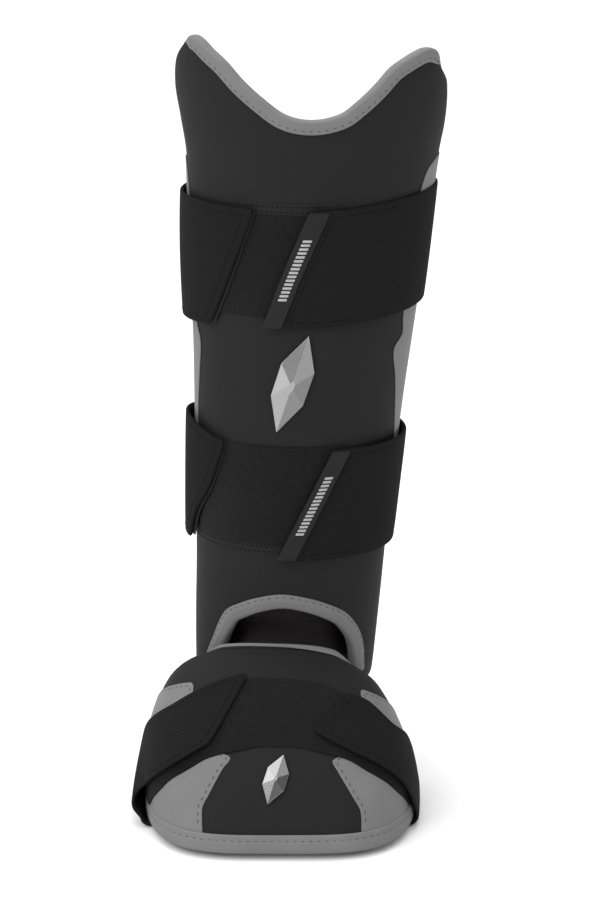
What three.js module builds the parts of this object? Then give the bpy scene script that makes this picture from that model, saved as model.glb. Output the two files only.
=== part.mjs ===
import * as THREE from "three";

// Batter's leg guard: a padded shin shell and a padded foot shell joined by a mesh tongue,
// with folded leather bindings, leather side panels, loop patches, straps, pull tabs and badges.
// Millimetres and degrees. The parts are laid out above the sole, with the toe towards -Y.

const { degToRad, lerp, clamp, smoothstep } = THREE.MathUtils;

// Driving dimensions
const SEAT = new THREE.Vector3(7, 0, 232); // middle of the shin between its straps, the origin
const SHIN_WALL = 6.5; // padded wall of the shin
const FOOT_WALL = 7; // padded wall over the foot
const LEATHER = 1; // bindings and side panels
const STRAP = 2.2; // elastic strap
const LOOP = 1; // loop patch
const HOOK = 1; // hook pad
const TAB = 1.6; // moulded pull tab
const MESH = 1.6; // mesh tongue
const CLEARANCE = 0.35; // between neighbouring pieces
const PANEL_CLEARANCE = 0.45; // under the side panels of the shin, which follow its flare
const LOOSE_CLEARANCE = 0.62; // under straps, which are not sewn down
const EDGE_CLEARANCE = 0.45; // between a wall's edge and the leather folded over it
const BAND = 5; // outer width of a binding on the shin
const RIM_BAND = 8; // outer width of the binding along the rim of the foot
const ANKLE_BAND = { left: 1.3, right: 4, from: 0, to: 0.35 }; // along its ankle edge, and sides
const INNER_BAND = 5.5; // inner width of a binding

// Shin sections: an oval for each height, deeper behind than in front at the calf
const SHIN_SECTIONS = [
  { height: 40, halfWidth: 49.6, front: 43, back: 46, middle: -4 },
  { height: 90, halfWidth: 51.9, front: 45.2, back: 49, middle: -1.8 },
  { height: 128, halfWidth: 53.1, front: 47, back: 52, middle: 0.35 },
  { height: 170, halfWidth: 55, front: 49, back: 56, middle: 2.4 },
  { height: 213, halfWidth: 57.2, front: 51, back: 60, middle: 4.7 },
  { height: 253, halfWidth: 60, front: 54, back: 64, middle: 7.2 },
  { height: 300, halfWidth: 64.3, front: 57, back: 65, middle: 9.3 },
  { height: 352, halfWidth: 68.5, front: 60, back: 66, middle: 12.3 },
  { height: 372, halfWidth: 71.8, front: 61.5, back: 65, middle: 12.8 },
  { height: 392, halfWidth: 74.5, front: 63, back: 64, middle: 12.4 },
  { height: 430, halfWidth: 75.8, front: 64, back: 62, middle: 12.6 },
];

// Top edge of the shin: a scoop for the knee between two ears, falling away behind them
const SHIN_TOP = [
  { angle: -115, height: 345 },
  { angle: -100, height: 378 },
  { angle: -88, height: 397 },
  { angle: -80, height: 406.5 },
  { angle: -68, height: 415.3 },
  { angle: -60, height: 418.3 },
  { angle: -54, height: 416.8 },
  { angle: -48, height: 412.5 },
  { angle: -40, height: 406.5 },
  { angle: -32, height: 397.7 },
  { angle: -24, height: 389.7 },
  { angle: -13, height: 380.1 },
  { angle: -1, height: 377.1 },
  { angle: 12, height: 380.2 },
  { angle: 20, height: 387 },
  { angle: 28, height: 395.5 },
  { angle: 35, height: 403.7 },
  { angle: 42, height: 408 },
  { angle: 48, height: 410.6 },
  { angle: 53, height: 411.8 },
  { angle: 58, height: 411 },
  { angle: 63, height: 407.6 },
  { angle: 69, height: 402 },
  { angle: 73, height: 398.8 },
  { angle: 78, height: 394 },
  { angle: 90, height: 372 },
  { angle: 115, height: 338 },
];
const TOP_BINDING = { left: -67, right: 69, narrow: { from: 57, to: 68, share: 0.15 } }; // angles

// Lower edge of the shin, with an arch over the instep
const SHIN_LOW = [
  { angle: -115, height: 52 },
  { angle: -66, height: 52 },
  { angle: -60, height: 56 },
  { angle: -53, height: 70 },
  { angle: -46, height: 81.5 },
  { angle: -41, height: 91 },
  { angle: -36.5, height: 97.6 },
  { angle: -30, height: 101.5 },
  { angle: -18, height: 106.4 },
  { angle: -4, height: 109.2 },
  { angle: 10, height: 107 },
  { angle: 22, height: 102.8 },
  { angle: 33.5, height: 97 },
  { angle: 41.5, height: 90 },
  { angle: 48, height: 82 },
  { angle: 52, height: 73 },
  { angle: 54, height: 64 },
  { angle: 56.5, height: 57 },
  { angle: 61, height: 53.5 },
  { angle: 115, height: 53.5 },
];
const ARCH_BINDING = { left: -58.5, right: 55 }; // angles
const SHIN_BACK = 115; // angle of the back edges
const ANKLE_WRAP = { more: 30, from: 60, low: 50, high: 150 }; // the shin closes in behind the ankle
const SHIN_ROW_POWER = 0.94; // rows close up towards the flared top
const SHIN_CORNER = { reach: 12, drop: 14 }; // rounding of the back corners, in angle and height
const SHIN_COLUMNS = [ // angles from and to, and the number of faces between them
  [-103, -66, 6], [-66, -60, 1], [-60, -48, 5], [-48, -33, 3], [-33, 27, 6],
  [27, 42, 2], [42, 54, 5], [54, 61, 2], [61, 103, 6],
];

// Foot cover: each rib runs from the ankle edge over a crown to the rim at the sole
const FOOT = {
  ankle: { middle: -9.6, halfWidth: 63.2, top: 86, low: 28, front: -50, sweep: 44, square: 2.6 },
  rim: { middle: -5.1, halfWidth: 75.1, back: -6, length: 126.2, square: 3.9 },
  crown: { left: 1.042, right: 0.965, forward: 0.76, high: 0.74 },
  tilt: 0.03, // fall of the ankle edge towards +X
  drop: { share: 0.03, from: 0.3, to: 0.5 }, // lower ankle edge at the right
};
const FOOT_CORNER = { reach: 0.1, ankle: 0.34, rim: 0.42 }; // rounding of the wing ends
const FOOT_COLUMNS = [[-0.9, -0.36, 9], [-0.36, 0.36, 10], [0.36, 0.9, 9]]; // sides and faces
const RIM_BINDING_END = 0.96; // side
const ANKLE_BINDING = { left: -0.43, right: 0.49, narrowing: 0.14, share: 0.2 }; // sides

// Side panels of the shin: the front edge of the left and right panel at each height
const SHIN_PANEL_BACK = 98;
const SHIN_PANEL_LEFT = [
  { height: 188, angle: -76 },
  { height: 208, angle: -74.8 },
  { height: 217, angle: -73.8 },
  { height: 235, angle: -70.8 },
  { height: 252, angle: -68.5 },
  { height: 262, angle: -73 },
  { height: 300, angle: -74 },
  { height: 326, angle: -76.2 },
  { height: 334, angle: -78.5 },
  { height: 346, angle: -82 },
  { height: 351, angle: -88 },
];
const SHIN_PANEL_RIGHT = [
  { height: 170, angle: 78 },
  { height: 197, angle: 72 },
  { height: 219, angle: 66.2 },
  { height: 234, angle: 61.5 },
  { height: 247, angle: 56.2 },
  { height: 252, angle: 57.2 },
  { height: 257, angle: 63 },
  { height: 266, angle: 61.2 },
  { height: 300, angle: 59 },
  { height: 335, angle: 61 },
  { height: 343, angle: 63 },
  { height: 349, angle: 67.5 },
  { height: 353, angle: 80 },
];
const SHIN_PANEL_ROW = 18; // greatest height of a row of faces

// Side panels of the foot: the inner edge at each place down the rib, and the ends of the upper edge
const FOOT_PANEL_LEFT_EDGE = [
  { down: 0.2, side: 0.398 },
  { down: 0.28, side: 0.392 },
  { down: 0.38, side: 0.33 },
  { down: 0.5, side: 0.28 },
  { down: 0.57, side: 0.27 },
  { down: 0.59, side: 0.246 },
  { down: 0.606, side: 0.216 },
  { down: 0.656, side: 0.248 },
  { down: 0.784, side: 0.308 },
  { down: 0.828, side: 0.327 },
  { down: 0.88, side: 0.329 },
  { down: 0.94, side: 0.328 },
];
const FOOT_PANEL_RIGHT_EDGE = [
  { down: 0.216, side: 0.424 },
  { down: 0.28, side: 0.418 },
  { down: 0.38, side: 0.35 },
  { down: 0.5, side: 0.31 },
  { down: 0.58, side: 0.3 },
  { down: 0.598, side: 0.274 },
  { down: 0.612, side: 0.244 },
  { down: 0.664, side: 0.264 },
  { down: 0.74, side: 0.3 },
  { down: 0.8, side: 0.328 },
  { down: 0.836, side: 0.344 },
  { down: 0.888, side: 0.348 },
  { down: 0.94, side: 0.345 },
];
const FOOT_PANELS = [
  { name: "left", hand: -1, frontTop: 0.203, backTop: 0.13, inner: FOOT_PANEL_LEFT_EDGE },
  { name: "right", hand: 1, frontTop: 0.214, backTop: 0.25, inner: FOOT_PANEL_RIGHT_EDGE },
];
const FOOT_PANEL_REACH = { side: 0.9, rimMargin: 1 };

// Shin straps: the left end laps over a hook pad, the right end carries a slanting pull tab
const UPPER_STRAP = {
  name: "upper",
  low: 267.6,
  high: 331.6,
  rise: { right: 6.2, leftLow: -4, leftHigh: 1.5, leftPower: 1.6 }, // of the flanks over the front
  swell: 1.4, // loose fold at the left
  leftEnd: [
    { up: 0, angle: -52.3 },
    { up: 0.2, angle: -44.8 },
    { up: 0.42, angle: -38 },
    { up: 0.655, angle: -32.2 },
    { up: 1, angle: -25 },
  ],
  tab: { low: -19.5, high: 0.3, wide: 9.2 },
  patch: { low: 272.5, high: 335.3, leftMargin: 16, right: 12, columns: 9 },
};
const LOWER_STRAP = {
  name: "lower",
  low: 135,
  high: 198.3,
  rise: { right: 0, leftLow: 3, leftHigh: 10.5, leftPower: 4 },
  swell: 2.4,
  leftEnd: [
    { up: 0, angle: -75.5 },
    { up: 0.27, angle: -66.3 },
    { up: 0.52, angle: -54 },
    { up: 0.84, angle: -45 },
    { up: 1, angle: -41.3 },
  ],
  tab: { low: -7.3, high: 20, wide: 10 },
  patch: { low: 137.5, high: 200, leftMargin: 14, right: 28, columns: 14 },
};
const RIGHT_RISE_POWER = 1.6;
const SWELL = { middle: 272, spread: 25 }; // angles of the loose fold
const HOOK_PAD = { reach: 22, peek: 2.2, margin: 0.03 }; // angles under the left end and past it, share
const STRAP_CLIMB = { from: 200, to: 275 }; // angles where the strap climbs onto its hook pad
const PULL_TAB = { from: 0.02, to: 0.985, overhang: 0.8 }; // shares up the strap, and an angle

// Foot strap and the loop patch under it: places on the foot cover, (side, down the rib)
const FOOT_STRAP_LEFT = [
  { along: 0, backSide: -0.14, backDown: 0.188, frontSide: -0.304, frontDown: 0.545 },
  { along: 0.25, backSide: -0.3, backDown: 0.237, frontSide: -0.41, frontDown: 0.624 },
  { along: 0.5, backSide: -0.47, backDown: 0.325, frontSide: -0.52, frontDown: 0.722 },
  { along: 0.75, backSide: -0.74, backDown: 0.5, frontSide: -0.615, frontDown: 0.845 },
  { along: 1, backSide: -0.84, backDown: 1, frontSide: -0.615, frontDown: 1 },
];
const FOOT_STRAP_RIGHT = [
  { along: 0, backSide: 0.356, backDown: 0.275, frontSide: 0.168, frontDown: 0.488 },
  { along: 0.25, backSide: 0.44, backDown: 0.3, frontSide: 0.31, frontDown: 0.566 },
  { along: 0.5, backSide: 0.555, backDown: 0.42, frontSide: 0.435, frontDown: 0.645 },
  { along: 0.75, backSide: 0.73, backDown: 0.55, frontSide: 0.54, frontDown: 0.775 },
  { along: 1, backSide: 0.8, backDown: 1, frontSide: 0.62, frontDown: 1 },
];
const FOOT_STRAP = {
  stand: { left: 6, right: 0.4, from: 0.64, to: 0.9 }, // of the front edge off the cover, above the rim
  closing: { share: 0.85, from: 0.88, to: 1.02 }, // share of that height lost where the strap turns under
  tilt: 1.5, // further height of the front edge, all the way
  sole: -3.9, // height of its middle under the sole
  tuck: 0.95, // share of the width that lies flat
  turn: { left: 0.99, right: 0.985, drop: 0.6 }, // shares of the width and of that height at the rim
};
const FOOT_PATCH = [
  { side: 0, back: 0.204, front: 0.552 },
  { side: 0.1, back: 0.206, front: 0.556 },
  { side: 0.18, back: 0.217, front: 0.571 },
  { side: 0.26, back: 0.236, front: 0.59 },
  { side: 0.32, back: 0.257, front: 0.613 },
  { side: 0.38, back: 0.28, front: 0.657 },
  { side: 0.46, back: 0.33, front: 0.722 },
  { side: 0.52, back: 0.38, front: 0.797 },
  { side: 0.56, back: 0.415, front: 0.85 },
  { side: 0.59, back: 0.44, front: 0.9 },
  { side: 0.61, back: 0.46, front: 0.92 },
  { side: 0.72, back: 0.6, front: 0.925 },
];
const FOOT_PATCH_RAMP = { from: 0.11, to: 0.215, raised: LEATHER + LOOSE_CLEARANCE };

// Mesh tongue: its middle turns forward under the foot cover, and its sides hang inside the shin
const TONGUE = {
  shinLeft: 62, // angles
  shinRight: 78,
  footLeft: 0.38, // sides
  footRight: 0.5,
  sides: { from: 0.5, to: 0.8 }, // shares of the half width
};
const TONGUE_ROWS = [
  { height: 132, shinLift: -7.75, down: 0, footLift: -11.8, onFoot: 0 },
  { height: 122, shinLift: -7.75, down: 0, footLift: -11.8, onFoot: 0 },
  { height: 115, shinLift: -9.6, down: 0, footLift: -11.8, onFoot: 0 },
  { height: 99, shinLift: -12, down: 0, footLift: -11.8, onFoot: 0 },
  { height: 88, shinLift: -15.4, down: 0, footLift: -11.8, onFoot: 0.08 },
  { height: 80, shinLift: -15.4, down: 0.02, footLift: -11.8, onFoot: 0.4 },
  { height: 74, shinLift: -13.5, down: 0.06, footLift: -11, onFoot: 0.85 },
  { height: 68, shinLift: -12.5, down: 0.13, footLift: -8.9, onFoot: 1 },
  { height: 62, shinLift: -12.5, down: 0.22, footLift: -8.25, onFoot: 1 },
];

// Badges: plain slanting lozenges with a bevelled face
const SHIN_BADGE = { place: [-4.5, 236], halfWidth: 9, halfHeight: 29, face: 4.6, lean: 18 };
const FOOT_BADGE = { place: [-0.016, 0.704], halfWidth: 6, halfHeight: 14, face: 3.4, lean: 18 };
const BADGE = { seat: 0.7, shoulder: 0.34, flank: 1.2, faceShare: 0.14 };

// Smooth curve through a table: a column's value at any key, held level past both ends
function curveThrough(rows, key, column) {
  const last = rows.length - 1;
  const slopes = rows.map((row, i) => {
    const before = rows[Math.max(i - 1, 0)];
    const after = rows[Math.min(i + 1, last)];
    return (after[column] - before[column]) / (after[key] - before[key]);
  });
  return (value) => {
    const at = clamp(value, rows[0][key], rows[last][key]);
    const i = Math.min(rows.findLastIndex((row) => row[key] <= at), last - 1);
    const span = rows[i + 1][key] - rows[i][key];
    const t = (at - rows[i][key]) / span;
    const rest = 1 - t;
    return (
      rest * rest * ((1 + 2 * t) * rows[i][column] + t * span * slopes[i]) +
      t * t * ((1 + 2 * rest) * rows[i + 1][column] - rest * span * slopes[i + 1])
    );
  };
}

// Even steps from one value to another, both ends included
function steps(from, to, count) {
  return Array.from({ length: count + 1 }, (_, i) => lerp(from, to, i / count));
}

// A run of columns: each leg of [from, to, count] follows the one before it
function columnRun(legs) {
  const inner = legs.flatMap(([from, to, count]) => steps(from, to, count).slice(0, -1));
  return [...inner, legs.at(-1)[1]];
}

// A surface that pieces lie on: base(u, v) gives its points and turn tells which way is out
function surfaceOf(base, stepU, stepV, turn) {
  const alongU = (u, v) => base(u + stepU, v).sub(base(u - stepU, v)).divideScalar(2 * stepU);
  const alongV = (u, v) => base(u, v + stepV).sub(base(u, v - stepV)).divideScalar(2 * stepV);
  const normal = (u, v) => alongU(u, v).cross(alongV(u, v)).normalize().multiplyScalar(turn);
  const point = (u, v, lift = 0) => base(u, v).addScaledVector(normal(u, v), lift);
  // Change of (u, v) for one millimetre along a direction that lies in the surface
  const stepAlong = (u, v, direction) => {
    const a = alongU(u, v);
    const b = alongV(u, v);
    const [aa, ab, bb] = [a.dot(a), a.dot(b), b.dot(b)];
    const [da, db] = [direction.dot(a), direction.dot(b)];
    const scale = aa * bb - ab * ab;
    return [(da * bb - db * ab) / scale, (db * aa - da * ab) / scale];
  };
  return { base, normal, point, alongV, stepAlong };
}

// Distance along a superellipse's two axes in the direction of an angle
function superellipse(turn, square) {
  const across = Math.sin(turn);
  const ahead = Math.cos(turn);
  const reach = (Math.abs(across) ** square + Math.abs(ahead) ** square) ** (-1 / square);
  return [reach * across, reach * ahead];
}

const shinHalfWidth = curveThrough(SHIN_SECTIONS, "height", "halfWidth");
const shinFront = curveThrough(SHIN_SECTIONS, "height", "front");
const shinBack = curveThrough(SHIN_SECTIONS, "height", "back");
const shinMiddle = curveThrough(SHIN_SECTIONS, "height", "middle");

// Angle on the oval: the flanks stretch further round at the ankle
function wrapped(angle, height) {
  const { more, from, low, high } = ANKLE_WRAP;
  const share = clamp((Math.abs(angle) - from) / (SHIN_BACK - from), 0, 1);
  return angle + Math.sign(angle) * more * share * (1 - smoothstep(height, low, high));
}

// Shin surface: u is the angle from the front, minus to -X, and v is the height
const shin = surfaceOf((angle, height) => {
  const turn = degToRad(wrapped(angle, height));
  const depth = Math.cos(turn) > 0 ? shinFront(height) : shinBack(height);
  return new THREE.Vector3(
    shinMiddle(height) + shinHalfWidth(height) * Math.sin(turn),
    -depth * Math.cos(turn),
    height,
  );
}, 0.2, 0.2, 1);

// Foot surface: u goes round from the left wing, -1, to the right wing, 1, and v down each rib
const foot = surfaceOf((side, down) => {
  const turn = (side * Math.PI) / 2;
  const { ankle, rim, crown, tilt } = FOOT;
  const [ankleAcross, ankleUp] = superellipse(turn, ankle.square);
  const [rimAcross, rimAhead] = superellipse(turn, rim.square);
  const top = new THREE.Vector3(
    ankle.middle + ankle.halfWidth * ankleAcross,
    ankle.front + ankle.sweep * (1 - Math.cos(turn)),
    lerp(ankle.low, ankle.top, ankleUp) - tilt * ankle.halfWidth * ankleAcross,
  );
  const low = new THREE.Vector3(
    rim.middle + rim.halfWidth * rimAcross,
    rim.back - rim.length * rimAhead,
    0,
  );
  const wide = lerp(crown.left, crown.right, smoothstep(side, -0.5, 0.5));
  const bend = new THREE.Vector3(
    rim.middle + rim.halfWidth * rimAcross * wide,
    lerp(top.y, low.y, crown.forward),
    lerp(low.z, top.z, crown.high),
  );
  return new THREE.Vector3()
    .addScaledVector(top, (1 - down) ** 2)
    .addScaledVector(bend, 2 * down * (1 - down))
    .addScaledVector(low, down ** 2);
}, 0.002, 0.002, -1);

// Solid from points and faces, turned so that its faces point out
function solid(points, faces) {
  const sixVolumes = faces.reduce((sum, [a, b, c]) => {
    return sum + points[a].dot(points[b].clone().cross(points[c]));
  }, 0);
  const outward = sixVolumes > 0 ? faces : faces.map(([a, b, c]) => [a, c, b]);
  const geometry = new THREE.BufferGeometry().setFromPoints(points);
  geometry.setIndex(outward.flat());
  geometry.computeVertexNormals();
  return geometry;
}

// Two triangles of a four-sided face, split along its shorter diagonal
function quad(points, a, b, c, d) {
  const split = points[a].distanceTo(points[c]) <= points[b].distanceTo(points[d]);
  return split ? [[a, b, c], [a, c, d]] : [[b, c, d], [b, d, a]];
}

// Closed slab between two grids of points of the same shape
function slab(outer, inner) {
  const rows = outer.length;
  const columns = outer[0].length;
  const over = (i, j) => i * columns + j;
  const under = (i, j) => (rows + i) * columns + j;
  const points = [...outer.flat(), ...inner.flat()];
  const faces = [];
  const addFace = (...corners) => faces.push(...quad(points, ...corners));
  for (let i = 0; i + 1 < rows; i += 1) {
    for (let j = 0; j + 1 < columns; j += 1) {
      addFace(over(i, j), over(i + 1, j), over(i + 1, j + 1), over(i, j + 1));
      addFace(under(i, j), under(i, j + 1), under(i + 1, j + 1), under(i + 1, j));
    }
    const end = columns - 1;
    addFace(over(i + 1, 0), over(i, 0), under(i, 0), under(i + 1, 0));
    addFace(over(i, end), over(i + 1, end), under(i + 1, end), under(i, end));
  }
  for (let j = 0; j + 1 < columns; j += 1) {
    const end = rows - 1;
    addFace(over(0, j), over(0, j + 1), under(0, j + 1), under(0, j));
    addFace(over(end, j + 1), over(end, j), under(end, j), under(end, j + 1));
  }
  return solid(points, faces);
}

// Wall on a surface: a grid of places (u, v) between a low and a high lift
function wall(surface, places, low, high) {
  const lifted = (lift) => places.map((row) => row.map(([u, v]) => surface.point(u, v, lift(u, v))));
  return slab(lifted(high), lifted(low));
}

// Sheet of even thickness over a grid of points
function sheet(points, thickness) {
  const at = (i, j) => points[clamp(i, 0, points.length - 1)][clamp(j, 0, points[0].length - 1)];
  const offset = (distance) => points.map((row, i) => row.map((point, j) => {
    const down = at(i + 1, j).clone().sub(at(i - 1, j));
    const across = at(i, j + 1).clone().sub(at(i, j - 1));
    return point.clone().addScaledVector(down.cross(across).normalize(), distance);
  }));
  return slab(offset(thickness / 2), offset(-thickness / 2));
}

// Leather folded over the edge of a wall: a channel section carried along its path
function binding(surface, path, thickness, bandAt) {
  const web = EDGE_CLEARANCE + LEATHER;
  const last = path.length - 1;
  const beside = (i) => path[clamp(i, 0, last)];
  const rings = path.map(([u, v], i) => {
    const along = surface.base(...beside(i + 1)).sub(surface.base(...beside(i - 1)));
    const beyond = along.cross(surface.normal(u, v)).normalize();
    const [stepU, stepV] = surface.stepAlong(u, v, beyond);
    const section = channel(bandAt(u), web, thickness);
    return section.map(([past, lift]) => surface.point(u + past * stepU, v + past * stepV, lift));
  });
  const points = rings.flat();
  const sides = rings[0].length;
  const corner = (i, k) => i * sides + (k % sides);
  const faces = [];
  for (let i = 0; i < last; i += 1) {
    for (let k = 0; k < sides; k += 1) {
      faces.push(...quad(points, corner(i, k), corner(i + 1, k), corner(i + 1, k + 1), corner(i, k + 1)));
    }
  }
  const flat = channel(BAND, web, thickness).map(([past, lift]) => new THREE.Vector2(past, lift));
  for (const [a, b, c] of THREE.ShapeUtils.triangulateShape(flat, [])) {
    faces.push([corner(0, a), corner(0, c), corner(0, b)]);
    faces.push([corner(last, a), corner(last, b), corner(last, c)]);
  }
  return solid(points, faces);
}

// Channel section of a binding: distance past the wall's edge, and lift
function channel(band, web, thickness) {
  const [outer, inner] = [EDGE_CLEARANCE, -thickness - EDGE_CLEARANCE];
  return [
    [-band, outer],
    [-band, outer + LEATHER],
    [web, outer + LEATHER],
    [web, inner - LEATHER],
    [-INNER_BAND, inner - LEATHER],
    [-INNER_BAND, inner],
    [EDGE_CLEARANCE, inner],
    [EDGE_CLEARANCE, outer],
  ];
}

// Quarter-round share of a corner: 0 where the rounding starts, 1 at the very end
function rounding(share) {
  return 1 - Math.sqrt(1 - clamp(share, 0, 1) ** 2);
}

// Columns into a rounded corner, closer together towards its end
function cornerColumns(end, reach) {
  return [30, 60, 90].map((turn) => end + reach * (Math.sin(degToRad(turn)) - 1));
}

const leather = (color) => new THREE.MeshStandardMaterial({ color, roughness: 0.55, metalness: 0 });
const BLACK_LEATHER = leather("#2c2c2c");
const GREY_LEATHER = leather("#858585");
const WEBBING = new THREE.MeshStandardMaterial({ color: "#1d1d1d", roughness: 0.85, metalness: 0 });
const FUZZ = new THREE.MeshStandardMaterial({ color: "#191919", roughness: 0.95, metalness: 0 });
const MESH_CLOTH = new THREE.MeshStandardMaterial({ color: "#1a1718", roughness: 0.8, metalness: 0 });
const RUBBER = new THREE.MeshStandardMaterial({ color: "#242424", roughness: 0.5, metalness: 0 });
const METAL = new THREE.MeshStandardMaterial({ color: "#b9babb", roughness: 0.25, metalness: 1 });

const guard = new THREE.Group();
guard.name = "batter_leg_guard";
guard.position.copy(SEAT).negate();

function addPiece(name, geometry, material) {
  const mesh = new THREE.Mesh(geometry, material);
  mesh.name = name;
  guard.add(mesh);
}

// Shin shell, with leather folded over the scoop between the ears and over the arch
function buildShin() {
  const topCurve = curveThrough(SHIN_TOP, "angle", "height");
  const lowCurve = curveThrough(SHIN_LOW, "angle", "height");
  const { reach, drop } = SHIN_CORNER;
  const start = SHIN_BACK - reach;
  const turned = (angle) => drop * rounding((Math.abs(angle) - start) / reach);
  const top = (angle) => topCurve(angle) - turned(angle);
  const low = (angle) => lowCurve(angle) + turned(angle);
  const corner = cornerColumns(SHIN_BACK, reach);
  const columns = [
    ...corner.toReversed().map((angle) => -angle),
    ...columnRun(SHIN_COLUMNS),
    ...corner,
  ];
  const shares = steps(0, 1, 14).map((share) => share ** SHIN_ROW_POWER);
  const places = columns.map((angle) => {
    return shares.map((share) => [angle, lerp(low(angle), top(angle), share)]);
  });
  addPiece("shin_shell", wall(shin, places, () => -SHIN_WALL, () => 0), BLACK_LEATHER);
  const within = ({ left, right }) => columns.filter((angle) => angle > left && angle < right);
  const { from, to, share } = TOP_BINDING.narrow;
  const topBand = (angle) => BAND * lerp(1, share, smoothstep(Math.abs(angle), from, to));
  const topPath = within(TOP_BINDING).toReversed().map((angle) => [angle, top(angle)]);
  addPiece("shin_top_binding", binding(shin, topPath, SHIN_WALL, topBand), GREY_LEATHER);
  const archPath = within(ARCH_BINDING).map((angle) => [angle, low(angle)]);
  addPiece("shin_arch_binding", binding(shin, archPath, SHIN_WALL, () => BAND), GREY_LEATHER);
}

// Foot shell, with leather folded over the rim and, more narrowly, over the front of the ankle edge
function buildFoot() {
  const { reach, ankle, rim } = FOOT_CORNER;
  const { drop } = FOOT;
  const start = 1 - reach;
  const share = (side) => rounding((Math.abs(side) - start) / reach);
  const ankleEdge = (side) => drop.share * smoothstep(side, drop.from, drop.to) + ankle * share(side);
  const rimEdge = (side) => 1 - rim * share(side);
  const corner = cornerColumns(1, reach);
  const columns = [
    ...corner.toReversed().map((side) => -side),
    ...columnRun(FOOT_COLUMNS),
    ...corner,
  ];
  const places = columns.map((side) => {
    return steps(ankleEdge(side), rimEdge(side), 9).map((down) => [side, down]);
  });
  addPiece("foot_shell", wall(foot, places, () => -FOOT_WALL, () => 0), BLACK_LEATHER);
  const rimPath = columns.filter((side) => Math.abs(side) < RIM_BINDING_END)
    .map((side) => [side, rimEdge(side)]);
  addPiece("foot_binding", binding(foot, rimPath, FOOT_WALL, () => RIM_BAND), GREY_LEATHER);
  const { left, right, narrowing, share: endShare } = ANKLE_BINDING;
  const ankleBand = (side) => {
    const widened = smoothstep(side, ANKLE_BAND.from, ANKLE_BAND.to);
    const full = lerp(ANKLE_BAND.left, ANKLE_BAND.right, widened);
    return full * lerp(endShare, 1, smoothstep(Math.min(side - left, right - side), 0, narrowing));
  };
  const anklePath = columns.filter((side) => side > left && side < right).toReversed()
    .map((side) => [side, ankleEdge(side)]);
  addPiece("ankle_binding", binding(foot, anklePath, FOOT_WALL, ankleBand), GREY_LEATHER);
}

// Leather panels down the sides of the shin
function buildShinPanels() {
  const panel = (name, rows, back) => {
    const front = curveThrough(rows, "height", "angle");
    const heights = columnRun(rows.slice(1).map((row, i) => {
      const below = rows[i].height;
      return [below, row.height, Math.ceil((row.height - below) / SHIN_PANEL_ROW)];
    }));
    const places = heights.map((v) => steps(front(v), back, 6).map((u) => [u, v]));
    const geometry = wall(shin, places, () => PANEL_CLEARANCE, () => PANEL_CLEARANCE + LEATHER);
    addPiece(name, geometry, GREY_LEATHER);
  };
  panel("shin_panel_left", SHIN_PANEL_LEFT, -SHIN_PANEL_BACK);
  panel("shin_panel_right", SHIN_PANEL_RIGHT, SHIN_PANEL_BACK);
}

// Leather panels down the sides of the foot cover, under its strap
function buildFootPanels() {
  const { side, rimMargin } = FOOT_PANEL_REACH;
  const low = (across) => 1 - (RIM_BAND + rimMargin) / foot.alongV(across, 1).length();
  for (const { name, hand, frontTop, backTop, inner } of FOOT_PANELS) {
    const edge = curveThrough(inner, "down", "side");
    const places = steps(0, 1, 13).map((across) => {
      const end = low(hand * lerp(edge(1), side, across));
      return steps(lerp(frontTop, backTop, across), end, 14).map((down) => {
        return [hand * lerp(edge(down), side, across), down];
      });
    });
    const geometry = wall(foot, places, () => CLEARANCE, () => CLEARANCE + LEATHER);
    addPiece(`foot_panel_${name}`, geometry, GREY_LEATHER);
  }
}

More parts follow.
